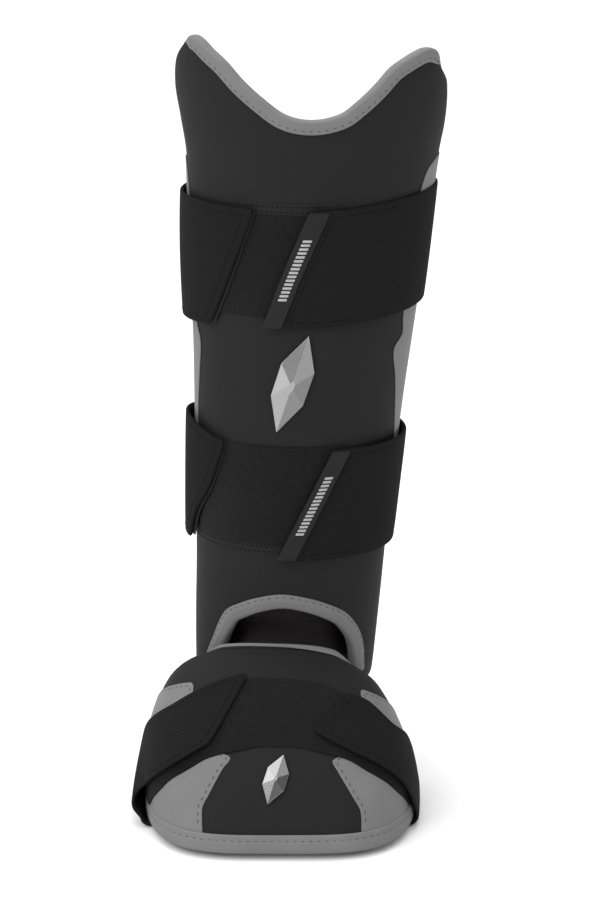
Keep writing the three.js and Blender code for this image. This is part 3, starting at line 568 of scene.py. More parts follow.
def leatherFinish(name, shades, form):
    material, tree, shader = newMaterial(name, form["roughness"][0], form["specular"])
    place = placeNode(tree, "Object")
    noise = shadeByNoise(tree, shader, place, shades, leatherGrain["slow"])
    inputs = {"Vector": place, "Scale": 1000.0 / form["grain"], "Randomness": leatherGrain["random"]}
    cells = addNode(tree, "ShaderNodeTexVoronoi", inputs, feature="SMOOTH_F1")
    grain = noiseFrom(tree, place, *leatherGrain["soft"])
    soft = bumpFrom(tree, shader, grain, form["bump"], leatherGrain["softDepth"])
    bumpFrom(tree, shader, cells.outputs["Distance"], form["bump"], leatherGrain["cellDepth"], soft)
    roughnessFrom(tree, shader, noise, *form["roughness"])
    return material


# Woven cloth: two crossing rows of waves on the piece's own UV map
waveRate = 20.0  # radians that a wave texture turns over a length of 1 at scale 1
weaveFibre = {"noise": (1500.0, 2.0), "bump": (0.25, 0.0003)}


def weaveFinish(name, shades, form):
    material, tree, shader = newMaterial(name, form["roughness"], form["specular"])
    place = placeNode(tree, "UV")
    waves = {}
    for k, turn in enumerate(form["turns"]):
        inputs = {"Vector": place, "Rotation": (0, 0, math.radians(turn))}
        turned = addNode(tree, "ShaderNodeMapping", inputs).outputs["Vector"]
        waves[k] = addNode(tree, "ShaderNodeTexWave", {
            "Vector": turned, "Scale": 2 * math.pi / (waveRate * form["pitch"] / 1000),
            "Distortion": form["distortion"], "Detail": 1.0, "Detail Scale": 2.0,
        }).outputs["Fac"]
    product = addNode(tree, "ShaderNodeMath", waves, operation="MULTIPLY").outputs["Value"]
    tree.links.new(rampFrom(tree, product, list(zip((0, 1), shades))), shader.inputs["Base Color"])
    fibre = noiseFrom(tree, place, *weaveFibre["noise"])
    soft = bumpFrom(tree, shader, fibre, *weaveFibre["bump"])
    bumpFrom(tree, shader, product, form["bump"], form["depth"], soft)
    return material


# Brushed loops: short fibres as noise at two sizes, with painted shade towards both ends where the form says
def pileFinish(name, shades, form):
    material, tree, shader = newMaterial(name, form["roughness"], form["specular"], sheen=form["sheen"])
    place = placeNode(tree, "Object")
    coarse = shadeByNoise(tree, shader, place, shades, form["scale"], form["detail"])
    fine = noiseFrom(tree, place, *form["fine"])
    below = bumpFrom(tree, shader, coarse, form["bump"], form["depths"][0])
    bumpFrom(tree, shader, fine, form["bump"], form["depths"][1], below)
    # painted shade: the loops get darker towards both ends, as if in the strap's shadow
    if "ends" in form:
        across = addNode(tree, "ShaderNodeSeparateXYZ", {"Vector": place}).outputs["X"]
        offset = addNode(tree, "ShaderNodeMath", {0: across, 1: form["middle"]}, operation="SUBTRACT")
        distance = addNode(tree, "ShaderNodeMath", {0: offset.outputs["Value"]}, operation="ABSOLUTE")
        paintedShade = (1.0, form["endPaintedShade"], form["ends"], "SMOOTHSTEP")
        scaleShade(tree, shader, spreadFrom(tree, distance.outputs["Value"], *paintedShade))
    return material


# Plain finish with a fine grain, for rubber, thread, metal and floor
plainDepth = 0.0003


def plainFinish(name, shades, roughness, specular, scale, bump, metallic=0.0):
    material, tree, shader = newMaterial(name, roughness[0], specular, metallic)
    noise = shadeByNoise(tree, shader, placeNode(tree, "Object"), shades, scale)
    bumpFrom(tree, shader, noise, bump, plainDepth)
    roughnessFrom(tree, shader, noise, *roughness)
    if metallic:
        # painted light: the facets of a cut badge get lit and shaded shares of the colour, as a face
        # attribute
        scaleShade(tree, shader, addNode(tree, "ShaderNodeAttribute", attribute_name="paintedFacetLight").outputs["Fac"])
    return material


def greys(*values):
    return [(value, value, value) for value in values]


blackForm = {"grain": 0.9, "bump": 0.10, "roughness": (0.68, 0.76), "specular": 0.14}
greyForm = {"grain": 0.9, "bump": 0.08, "roughness": (0.58, 0.66), "specular": 0.2}
elasticForm = {"roughness": 0.95, "specular": 0.1, "pitch": 1.7, "turns": (45, -45), "distortion": 0.1,
               "bump": 0.15, "depth": 0.0002}
meshForm = {"roughness": 0.7, "specular": 0.3, "pitch": 1.25, "turns": (0, 90), "distortion": 0.0,
            "bump": 0.8, "depth": 0.0004}
meshShades = [(0.006, 0.0045, 0.0045), (0.024, 0.019, 0.019)]
loopForm = {"roughness": 0.95, "specular": 0.15, "sheen": (0.03, 0.6), "scale": 800.0, "detail": 6.0,
            "fine": (3200.0, 4.0, 0.7), "bump": 0.4, "depths": (0.0012, 0.0006)}
# the foot patch has painted shade, darker towards both ends where the strap shades it
footLoopForm = {**loopForm, "middle": -0.012, "ends": (0.028, 0.055), "endPaintedShade": 0.3}
finishes = {
    "blackLeather": leatherFinish("blackLeather", greys(0.0135, 0.016), blackForm),
    "greyLeather": leatherFinish("greyLeather", greys(0.165, 0.185), greyForm),
    "elastic": weaveFinish("blackElastic", greys(0.0095, 0.0145), elasticForm),
    "hooks": plainFinish("blackHooks", greys(0.004, 0.008), (0.6, 0.7), 0.3, 1400.0, 0.5),
    "loops": pileFinish("blackLoops", greys(0.005, 0.012), loopForm),
    "footLoops": pileFinish("blackFootLoops", greys(0.005, 0.012), footLoopForm),
    "mesh": weaveFinish("blackMesh", meshShades, meshForm),
    "rubber": plainFinish("blackRubber", greys(0.009, 0.012), (0.5, 0.6), 0.2, 900.0, 0.1),
    "paleRubber": plainFinish("paleRubber", greys(0.36, 0.42), (0.5, 0.6), 0.25, 900.0, 0.1),
    "metal": plainFinish("silverMetal", greys(0.31, 0.34), (0.2, 0.24), 0.5, 900.0, 0.02, 1.0),
    "greyThread": plainFinish("greyThread", greys(0.055, 0.075), (0.7, 0.8), 0.25, 2500.0, 0.4),
    "blackThread": plainFinish("blackThread", greys(0.003, 0.006), (0.8, 0.9), 0.1, 2500.0, 0.4),
}
print("finishes made")

# Padded shin shell: the edges dip where the binding grips them, and slow waves ripple the leather a little
shinShell = {
    "wall": 6.5,
    "edgeWall": 4.5,
    "edgeReach": 22.0,
    "inset": 2.4,
    "dip": 0.7,
    "fall": 5.0,
    "columns": 190,
    "rows": 150,
    "ripple": 0.12,
    "upWaves": (17.0, 60.0),
    "roundWaves": (31.0, 13.0),
    "cornerReach": 12.0,
    "cornerDrop": 14.0,
    "topAngle": [-115, -100, -88, -80, -68, -60, -54, -48, -40, -32, -24, -13, -1, 12, 20, 28, 35, 42, 48,
                 53, 58, 63, 69, 73, 78, 90, 115],
    "topHeight": [345, 378, 397, 406.5, 415.3, 418.3, 416.8, 412.5, 406.5, 397.7, 389.7, 380.1, 377.1, 380.2,
                  387, 395.5, 403.7, 408, 410.6, 411.8, 411, 407.6, 402, 398.8, 394, 372, 338],
    "lowAngle": [-115, -66, -60, -53, -46, -41, -36.5, -30, -18, -4, 10, 22, 33.5, 41.5, 48, 52, 54, 56.5,
                 61, 115],
    "lowHeight": [52, 52, 56, 70, 81.5, 91, 97.6, 101.5, 106.4, 109.2, 107, 102.8, 97, 90, 82, 73, 64, 57,
                  53.5, 53.5],
}
shinTopCurve = curveThrough(shinShell["topAngle"], shinShell["topHeight"])
shinLowCurve = curveThrough(shinShell["lowAngle"], shinShell["lowHeight"])


def shinCorner(angle):
    toBack = shinForm["backAngle"] - np.abs(angle)
    return shinShell["cornerDrop"] * quarterRound(toBack, shinShell["cornerReach"])


def shinTop(angle):
    return shinTopCurve(angle) - shinCorner(angle)


def shinLow(angle):
    return shinLowCurve(angle) + shinCorner(angle)


def buildShinShell():
    form, end = shinShell, shinForm["backAngle"]
    angle = columnsTo(end, form["cornerReach"], form["columns"])[:, None]
    share = np.linspace(0, 1, form["rows"])[None, :]
    low, top = shinLow(angle), shinTop(angle)
    height = mix(low + form["inset"], top - form["inset"], share)
    angle = np.broadcast_to(angle, height.shape)
    edge = np.minimum(np.minimum(height - low, top - height), end - np.abs(angle) + form["inset"])
    upShort, upLong = form["upWaves"]
    roundLong, roundShort = form["roundWaves"]
    waves = np.sin(height / upShort + 2 * np.sin(angle / roundLong))
    waves = waves * np.sin(angle / roundShort + height / upLong)
    lift = form["ripple"] * waves - form["dip"] * np.exp(-edge / form["fall"])
    wall = mix(form["edgeWall"], form["wall"], smooth(edge, 0, form["edgeReach"]))
    drawnIn = angle * (1 - form["inset"] / end)
    piece = addLayer("paddedShin", shin, drawnIn, height, lift, -wall, form["inset"], "blackLeather",
                     "shin_shell")[0]


# Bindings on the shin: over the scooped top from ear to ear, and over the arch
shinBindings = {
    "topBinding": {
        "node": "shin_top_binding", "edge": shinTop, "upper": True, "left": -69.0, "right": 70.5,
        "fadeOver": 12.0, "samples": 600, "band": (4.9, 4.9), "inset": 2.2, "web": 2.6, "swell": 0.35,
        "pitch": 4.0, "pucker": 0.12, "sink": 3.2,
    },
    "archBinding": {
        "node": "shin_arch_binding", "edge": shinLow, "upper": False, "left": -58.5, "right": 55.5,
        "fadeOver": 1.0, "samples": 600, "band": (5.3, 5.3), "inset": 1.6, "web": 3.6, "swell": 0.35,
        "pitch": 5.6, "pucker": 0.12, "sink": 0.0,
    },
}


def buildShinBindings():
    rows = [addBinding(name, shin, shinShell["edgeWall"], form) for name, form in shinBindings.items()]
    addStitches("shinBindingStitches", rows, threadForm, "greyThread")


# Leather panels down the sides of the shin
shinPanels = {
    "back": 98.0, "corner": 8.0, "thick": 0.55, "puff": 0.3, "rows": 90, "columns": 36, "edgeIn": 0.5,
    "left": {"hand": -1,
             "height": [188, 208, 217, 235, 252, 262, 300, 326, 334, 346, 351],
             "angle": [-76, -74.8, -73.8, -70.8, -68.5, -73, -74, -76.2, -78.5, -82, -88]},
    "right": {"hand": 1,
              "height": [170, 197, 219, 234, 247, 252, 257, 266, 300, 335, 343, 349, 353],
              "angle": [78, 72, 66.2, 61.5, 56.2, 57.2, 63, 61.2, 59, 61, 63, 67.5, 80]},
}


def buildShinPanels():
    form = shinPanels
    for side in ("left", "right"):
        table = form[side]
        front = curveThrough(table["height"], table["angle"])
        low, high = table["height"][0], table["height"][-1]
        up = np.linspace(0, 1, form["rows"])[:, None]
        share = np.linspace(0, 1, form["columns"])[None, :]
        height = mix(low + form["edgeIn"], high - form["edgeIn"], up)
        rounded = quarterRound(np.minimum(height - low, high - height), form["corner"])
        angle = mix(front(height), table["hand"] * (form["back"] - form["corner"] * rounded), share)
        puff = form["puff"] * np.sin(math.pi * share) * np.sin(math.pi * up)
        height = np.broadcast_to(height, angle.shape)
        addLayer(f"{side}ShinPanel", shin, angle, height, form["thick"] + puff, 0, form["thick"] / 2,
                 "greyLeather", f"shin_panel_{side}")


# Shin straps: loop patch with a hem, hook pad, elastic round the calf and a slanting pull tab
strapForm = {
    "thick": 2.0, "patch": 0.85, "pad": 0.9, "tab": 1.5, "gap": 0.1, "padGap": 0.05, "crown": 0.3,
    "corner": 3.0, "rightPower": 1.6, "offPatch": (2.0, 16.0), "ontoPad": (200.0, 275.0),
    "bulgeAt": 272.0, "bulgeReach": 25.0, "endIn": 1.0, "rows": 48, "columns": 300,
    "sewnEnd": 4.5, "sewnEdge": 3.4, "sewnRun": 34.0, "sewnPastTab": 2.0, "endPoints": 60, "runPoints": 80,
}
shinStraps = {
    "upper": {
        "low": 267.6, "high": 331.6, "riseRight": 6.2, "riseLeft": (-4.0, 1.5), "leftPower": 1.6,
        "endUp": [0, 0.2, 0.42, 0.655, 1], "endAngle": [-52.3, -44.8, -38, -32.2, -25],
        "tab": (-19.5, 0.3), "tabWide": 9.2, "bare": (1.9, 0.1), "bulge": (2.0, 0.3),
        "patch": (272.5, 329.0), "hem": (328.6, 335.3), "patchMargin": 16.0, "patchRight": 12.0,
    },
    "lower": {
        "low": 135.0, "high": 198.3, "riseRight": 0.0, "riseLeft": (3.0, 10.5), "leftPower": 4.0,
        "endUp": [0, 0.27, 0.52, 0.84, 1], "endAngle": [-75.5, -66.3, -54, -45, -41.3],
        "tab": (-7.3, 20.0), "tabWide": 10.0, "bare": (2.2, 2.9), "bulge": (2.4, 1.5),
        "patch": (143.0, 200.0), "hem": (137.5, 143.6), "patchMargin": 14.0, "patchRight": 28.0,
    },
}
patchForm = {"edgeIn": 0.5, "bed": 0.05, "rows": 90, "columns": 140, "seed": 5}
hemForm = {"edgeIn": 0.5, "low": -0.1, "thick": 0.45, "sewn": (0.28, 0.72), "rows": 16, "columns": 120}
hookPad = {"up": (0.03, 0.97), "reach": 22.0, "peek": 1.4, "drop": 0.03, "rows": 60, "columns": 30}
tabForm = {
    "up": (0.02, 0.985), "share": (0.06, 0.94), "before": 0.8, "edge": 0.7,
    "pillow": 0.3, "pillowHalf": 0.44, "pillowPower": 0.3,
    "rows": 90, "columns": 24, "ribs": 16, "ribUp": (0.26, 0.76), "ribHalf": 0.0075, "ribShare": (0.3, 0.7),
    "ribTop": 0.2, "ribFoot": -0.3, "ribRows": 6, "ribColumns": 10,
}


# The strap climbs by a power of the sine of the angle, with its own amount at each side
def strapHeight(strap, angle, up):
    across = np.sin(np.radians(angle))
    right = strap["riseRight"] * np.clip(across, 0, 1) ** strapForm["rightPower"]
    left = mix(*strap["riseLeft"], up) * np.clip(-across, 0, 1) ** strap["leftPower"]
    return mix(strap["low"], strap["high"], up) + right + left


def patchAngles(strap, leftEnd, height, columns):
    up = np.clip((height - strap["low"]) / (strap["high"] - strap["low"]), 0, 1)
    return mix(leftEnd(up) - strap["patchMargin"], strap["patchRight"], np.linspace(0, 1, columns)[None, :])


# Angles and heights of a sheet that lies between two heights beside the strap's left end
def patchGrid(strap, leftEnd, span, form):
    height = np.linspace(span[0] + form["edgeIn"], span[1] - form["edgeIn"], form["rows"])[:, None]
    angle = patchAngles(strap, leftEnd, height, form["columns"])
    return angle, np.broadcast_to(height, angle.shape)


def buildPatch(name, strap, leftEnd):
    angle, height = patchGrid(strap, leftEnd, strap["patch"], patchForm)
    high = strapForm["patch"] + nap(angle.shape, patchForm["seed"])
    piece, outer = addLayer(f"{name}LoopPatch", shin, angle, height, high, patchForm["bed"],
                            patchForm["edgeIn"], "loops", f"{name}_loop_patch")


def buildHem(name, strap, leftEnd):
    angle, height = patchGrid(strap, leftEnd, strap["hem"], hemForm)
    top = hemForm["low"] + hemForm["thick"]
    addLayer(f"{name}PatchHem", shin, angle, height, top, hemForm["low"], hemForm["edgeIn"], "blackLeather")
    rows = []
    for share in hemForm["sewn"]:
        level = mix(*strap["hem"], np.array([[share]]))
        lineAngle = patchAngles(strap, leftEnd, level, hemForm["columns"])[0]
        level = level[0, 0] + 0 * lineAngle
        rows.append(sewnLine(shin, lineAngle, level, top, strapThread))
    addStitches(f"{name}HemStitches", rows, strapThread, "blackThread")


# Height of the strap's inner face: on the patch, bare, then on the hook pad with a loose bulge
def strapRest(strap, angle, up):
    form = strapForm
    onPatch = form["gap"] + form["patch"] + form["gap"]
    onPad = onPatch + form["pad"] + form["padGap"]
    offPatch = smooth(angle, *(strap["patchRight"] + past for past in form["offPatch"]))
    right = mix(onPatch, mix(*strap["bare"], up), offPatch)
    bulge = mix(*strap["bulge"], up) * np.exp(-((angle - form["bulgeAt"]) / form["bulgeReach"]) ** 2)
    return mix(right, onPad, smooth(angle, *form["ontoPad"])) + bulge


def buildHookPad(name, strap, leftEnd):
    form, thick = hookPad, strapForm["pad"]
    up = np.linspace(*form["up"], form["rows"])[:, None]
    end = leftEnd(up) + form["peek"] * (1 - up)
    angle = 360 + mix(end - form["reach"], end, np.linspace(0, 1, form["columns"])[None, :])
    height = strapHeight(strap, angle, up)
    high = strapRest(strap, angle, up) - form["drop"]
    addLayer(f"{name}HookPad", shin, angle, height, high, high - thick, thick / 2, "hooks",
             f"{name}_hook_pad")


def buildStrapBand(name, strap, leftEnd, rightEnd):
    form, thick, width = strapForm, strapForm["thick"], strap["high"] - strap["low"]

    def strapPoint(angle, up, lift):
        crown = form["crown"] * (1 - (2 * up - 1) ** 4)
        lifted = strapRest(strap, angle, up) + crown * np.clip(lift, 0, 1) + lift
        return shin.point(angle, strapHeight(strap, angle, up), lifted)

    edge = thick / 2 / width
    up = mix(edge, 1 - edge, 0.5 - 0.5 * np.cos(np.linspace(0, math.pi, form["rows"])))[:, None]
    share = np.linspace(0, 1, form["columns"])[None, :]
    # the rounded corners draw the left end back near both edges
    drawn = form["corner"] * quarterRound(np.minimum(up, 1 - up) * width, form["corner"])
    angle = mix(rightEnd(up) + form["endIn"], 360 + leftEnd(up) - form["endIn"] - drawn, share)
    up = np.broadcast_to(up, angle.shape)
    outer = strapPoint(angle, up, thick)
    inner = strapPoint(angle, up, 0)
    uv = bandUv(outer.swapaxes(0, 1)).swapaxes(0, 1)
    addSlab(f"{name}Strap", outer, inner, thick / 2, "elastic", f"{name}_strap", uv=uv)

    # sewn lines: along the slanting ends and the edges beside them
    inset = form["sewnEdge"] / width
    upLine = np.linspace(inset, 1 - inset, form["endPoints"])
    run = np.linspace(0, 1, form["runPoints"]) * form["sewnRun"]
    leftLine = 360 + leftEnd(upLine) - form["sewnEnd"]
    rightLine = rightEnd(upLine) + strap["tabWide"] + form["sewnPastTab"]
    lines = [(leftLine, upLine), (rightLine, upLine)]
    for k, edgeUp in ((0, inset), (-1, 1 - inset)):
        lines.append((leftLine[k] - run, edgeUp + 0 * run))
        lines.append((rightLine[k] + run, edgeUp + 0 * run))
    rows = []
    for lineAngle, lineUp in lines:
        points = strapPoint(lineAngle, lineUp, thick)
        normals = shin.normal(lineAngle, strapHeight(strap, lineAngle, lineUp))
        rows.append(stitchRow(points, normals, strapThread))
    addStitches(f"{name}StrapStitches", rows, strapThread, "blackThread")


def buildTab(name, strap, rightEnd):
    form, thick = tabForm, strapForm["tab"]

    def tabPoint(up, share, lift):
        angle = rightEnd(up) - form["before"] + strap["tabWide"] * share
        low = strapRest(strap, angle, up) + strapForm["thick"] + strapForm["crown"]
        return shin.point(angle, strapHeight(strap, angle, up), low + lift)

    up = np.linspace(*form["up"], form["rows"])[:, None]
    share = np.linspace(*form["share"], form["columns"])[None, :]
    fromEdge = np.clip(1 - np.abs(share - 0.5) / form["pillowHalf"], 0, 1)
    pillow = form["pillow"] * fromEdge ** form["pillowPower"]
    outer = tabPoint(up, share, thick - form["pillow"] + pillow)
    inner = tabPoint(up, share, 0)
    addSlab(f"{name}PullTab", outer, inner, form["edge"], "rubber", f"{name}_pull_tab")
    # pale grip ribs across the tab
    parts = []
    for middle in np.linspace(*form["ribUp"], form["ribs"]):
        ribUp = middle + form["ribHalf"] * np.linspace(-1, 1, form["ribRows"])[:, None]
        ribShare = np.linspace(*form["ribShare"], form["ribColumns"])[None, :]
        skins = [tabPoint(ribUp, ribShare, thick + form[key]) for key in ("ribTop", "ribFoot")]
        parts.append(slab(*skins, form["ribTop"]))
    count = len(parts[0][0])
    faces = np.concatenate([np.array(part[1]) + k * count for k, part in enumerate(parts)]).tolist()
    points, uv = (np.concatenate([part[k] for part in parts]) for k in (0, 2))
    addPiece(f"{name}GripRibs", makeMesh(f"{name}GripRibs", points, faces, uv), "paleRubber")


def buildShinStraps():
    for name, strap in shinStraps.items():
        leftEnd = curveThrough(strap["endUp"], strap["endAngle"])

        def rightEnd(up, ends=strap["tab"]):
            return mix(*ends, up)

        buildPatch(name, strap, leftEnd)
        buildHem(name, strap, leftEnd)
        buildHookPad(name, strap, leftEnd)
        buildStrapBand(name, strap, leftEnd, rightEnd)
        buildTab(name, strap, rightEnd)


# Padded foot cover, with wings whose corners are rounded
footShell = {
    "wall": 7.0, "inset": 2.6, "dip": 0.7, "fall": 5.0, "columns": 200, "rows": 110, "sideLength": 60.0,
    "cornerReach": 0.1, "cornerAnkle": 0.34, "cornerRim": 0.42, "rightDrop": 0.03, "dropOver": (0.3, 0.5),
}


def wingCorner(side):
    return quarterRound(1 - np.abs(side), footShell["cornerReach"])


def ankleEdge(side):
    drop = footShell["rightDrop"] * smooth(side, *footShell["dropOver"])
    return drop + footShell["cornerAnkle"] * wingCorner(side)


def rimEdge(side):
    return 1 - footShell["cornerRim"] * wingCorner(side)


def buildFootShell():
    form = footShell
    side = columnsTo(1, form["cornerReach"], form["columns"])[:, None]
    ribLength = np.linalg.norm(foot.slopes(side, 0.5)[1], axis=-1)
    inset = form["inset"] / ribLength
    top, rim = ankleEdge(side), rimEdge(side)
    down = mix(top + inset, rim - inset, np.linspace(0, 1, form["rows"])[None, :])
    edge = np.minimum(down - top, rim - down) * ribLength
    lift = -form["dip"] * np.exp(-edge / form["fall"])
    drawnIn = np.broadcast_to(side, down.shape) * (1 - form["inset"] / form["sideLength"])
    piece = addLayer("paddedFoot", foot, drawnIn, down, lift, -form["wall"], form["inset"], "blackLeather",
                     "foot_shell")[0]


# Bindings on the foot cover: a wide one along the rim, a thin one at the front of the ankle
rimBinding = {
    "node": "foot_binding", "edge": rimEdge, "upper": False, "left": -0.93, "right": 0.93,
    "fadeOver": 0.002, "samples": 900, "band": (8.0, 8.0), "inset": 3.4, "web": 2.4, "swell": 0.4,
    "pitch": 4.8, "pucker": 0.12, "sink": 0.0,
}
ankleBinding = {
    "node": "ankle_binding", "edge": ankleEdge, "upper": True, "left": -0.40, "right": 0.47,
    "fadeOver": 0.14, "samples": 900, "band": (1.3, 4.0), "inset": 0.5, "web": 1.1, "swell": 0.1,
    "pitch": 4.8, "pucker": 0.0, "sink": 3.0,
}


def buildFootBindings():
    row = addBinding("rimBinding", foot, footShell["wall"], rimBinding)
    addStitches("rimStitches", [row], threadForm, "greyThread")
    addBinding("ankleBinding", foot, footShell["wall"], ankleBinding)


# Leather panels on the foot cover, sewn along their inner and upper edges
footPanels = {
    "left": {"hand": -1, "top": (0.203, 0.13),
             "down": [0.2, 0.28, 0.38, 0.5, 0.57, 0.59, 0.606, 0.656, 0.784, 0.828, 0.88, 0.94],
             "side": [0.398, 0.392, 0.33, 0.28, 0.27, 0.246, 0.216, 0.248, 0.308, 0.327, 0.329, 0.328]},
    "right": {"hand": 1, "top": (0.214, 0.25),
              "down": [0.216, 0.28, 0.38, 0.5, 0.58, 0.598, 0.612, 0.664, 0.74, 0.8, 0.836, 0.888, 0.94],
              "side": [0.424, 0.418, 0.35, 0.31, 0.3, 0.274, 0.244, 0.264, 0.3, 0.328, 0.344, 0.348, 0.345]},
    "reach": 0.9, "low": 0.05, "thick": 0.55, "rimGap": 0.3, "corner": 3.0, "backCorner": 9.0,
    "sideLength": 60.0, "ribLength": 105.0, "columns": 90, "rows": 64,
    "sewnIn": 2.1, "sewnFrom": 0.02, "sewnTo": 0.925, "sewnTop": (0.04, 0.9), "threadSink": 0.05,
    "linePoints": 120, "topPoints": 80,
}


def buildFootPanels():
    form = footPanels
    high = form["low"] + form["thick"]
    rows = []
    for name in ("left", "right"):
        table = form[name]
        hand = table["hand"]
        edge = curveThrough(table["down"], table["side"])
        across = np.linspace(0, 1, form["columns"])[:, None]
        endSide = hand * mix(edge(1.0), form["reach"], across)
        ribEnd = np.linalg.norm(foot.slopes(endSide, 1)[1], axis=-1)
        end = 1 - (rimBinding["band"][0] + form["rimGap"]) / ribEnd
        top = mix(*table["top"], across)
        for corner, toEnd in ((form["corner"], across), (form["backCorner"], 1 - across)):
            top = top + corner / form["ribLength"] * quarterRound(toEnd * form["sideLength"], corner)
        down = mix(top, end, np.linspace(0, 1, form["rows"])[None, :])
        side = hand * mix(edge(down), form["reach"], across)
        addLayer(f"{name}FootPanel", foot, side, down, high, form["low"], form["thick"] / 2, "greyLeather",
                 f"foot_panel_{name}")
        # the sewn line runs down the inner edge and along the upper one
        lineDown = np.linspace(table["top"][0] + form["sewnFrom"], form["sewnTo"], form["linePoints"])
        ring = np.linalg.norm(foot.slopes(hand * edge(lineDown), lineDown)[0], axis=-1)
        lineSide = hand * (edge(lineDown) + form["sewnIn"] / ring)
        topShare = np.linspace(*form["sewnTop"], form["topPoints"])
        topDown = mix(*table["top"], topShare) + form["sewnIn"] / form["ribLength"]
        topSide = hand * mix(edge(topDown), form["reach"], topShare)
        for u, v in ((lineSide, lineDown), (topSide, topDown)):
            rows.append(sewnLine(foot, u, v, high - form["threadSink"], threadForm))
    addStitches("footPanelStitches", rows, threadForm, "greyThread")


# Loop patch across the foot cover, raised where it lies on the panels
footPatch = {
    "side": [0, 0.1, 0.18, 0.26, 0.32, 0.38, 0.46, 0.52, 0.56, 0.59, 0.61, 0.72],
    "back": [0.204, 0.206, 0.217, 0.236, 0.257, 0.28, 0.33, 0.38, 0.415, 0.44, 0.46, 0.6],
    "front": [0.552, 0.556, 0.571, 0.59, 0.613, 0.657, 0.722, 0.797, 0.85, 0.9, 0.92, 0.925],
    "ramp": (0.11, 0.2), "raised": 0.5, "thick": 0.65, "gap": 0.05, "sunk": 0.2, "edge": 0.4,
    "columns": 200, "rows": 70, "seed": 7, "spare": 1.02,
}


def buildFootPatch():
    form = footPatch
    back = curveThrough(form["side"], form["back"])
    front = curveThrough(form["side"], form["front"])
    end = form["side"][-1]
    side = np.linspace(-end, end, form["columns"])[:, None]
    out = np.abs(side)
    down = mix(back(out), front(out), np.linspace(0, 1, form["rows"])[None, :])
    low = form["gap"] + form["raised"] * smooth(np.broadcast_to(out, down.shape), *form["ramp"])
    side = np.broadcast_to(side, down.shape)
    high = low + form["thick"] + nap(side.shape, form["seed"])
    piece, outer = addLayer("footLoopPatch", foot, side, down, high, low - form["sunk"], form["edge"],
                            "footLoops", "foot_loop_patch")
    # width and length for a flat sheet: as wide as the patch and long enough for its area
    cells = np.cross(np.diff(outer, axis=0)[:, :-1], np.diff(outer, axis=1)[:-1])
    area = float(np.linalg.norm(cells, axis=-1).sum()) / 1e6
    wide, long = flatSize(outer)
    long = max(long, area / wide * form["spare"])


# Foot strap: down both sides of the cover, round the rim and flat under the sole
footStrap = {
    "along": [0, 0.25, 0.5, 0.75, 1],
    "left": {"backSide": [-0.14, -0.3, -0.47, -0.74, -0.84], "backDown": [0.188, 0.237, 0.325, 0.5, 1],
             "frontSide": [-0.304, -0.41, -0.52, -0.615, -0.615],
             "frontDown": [0.545, 0.624, 0.722, 0.845, 1], "stand": 6.0, "turn": 0.99},
    "right": {"backSide": [0.356, 0.44, 0.555, 0.73, 0.8], "backDown": [0.275, 0.3, 0.42, 0.55, 1],
              "frontSide": [0.168, 0.31, 0.435, 0.54, 0.62], "frontDown": [0.488, 0.566, 0.645, 0.775, 1],
              "stand": 0.4, "turn": 0.985},
    "sole": -3.9, "turnDrop": 0.6, "tuck": 0.95, "thick": 1.8, "rest": 1.3, "corner": 4.0,
    "standing": (0.64, 0.9), "closing": (0.88, 1.02), "closed": 0.85, "tilt": 1.5, "tiltPower": 3,
    "edgeIn": 0.014, "columns": 50, "rows": 340, "stations": 13, "soleStations": 4,
    "sewnEnd": 4.2, "sewnEdge": 3.4, "sewnRun": 50.0,
}


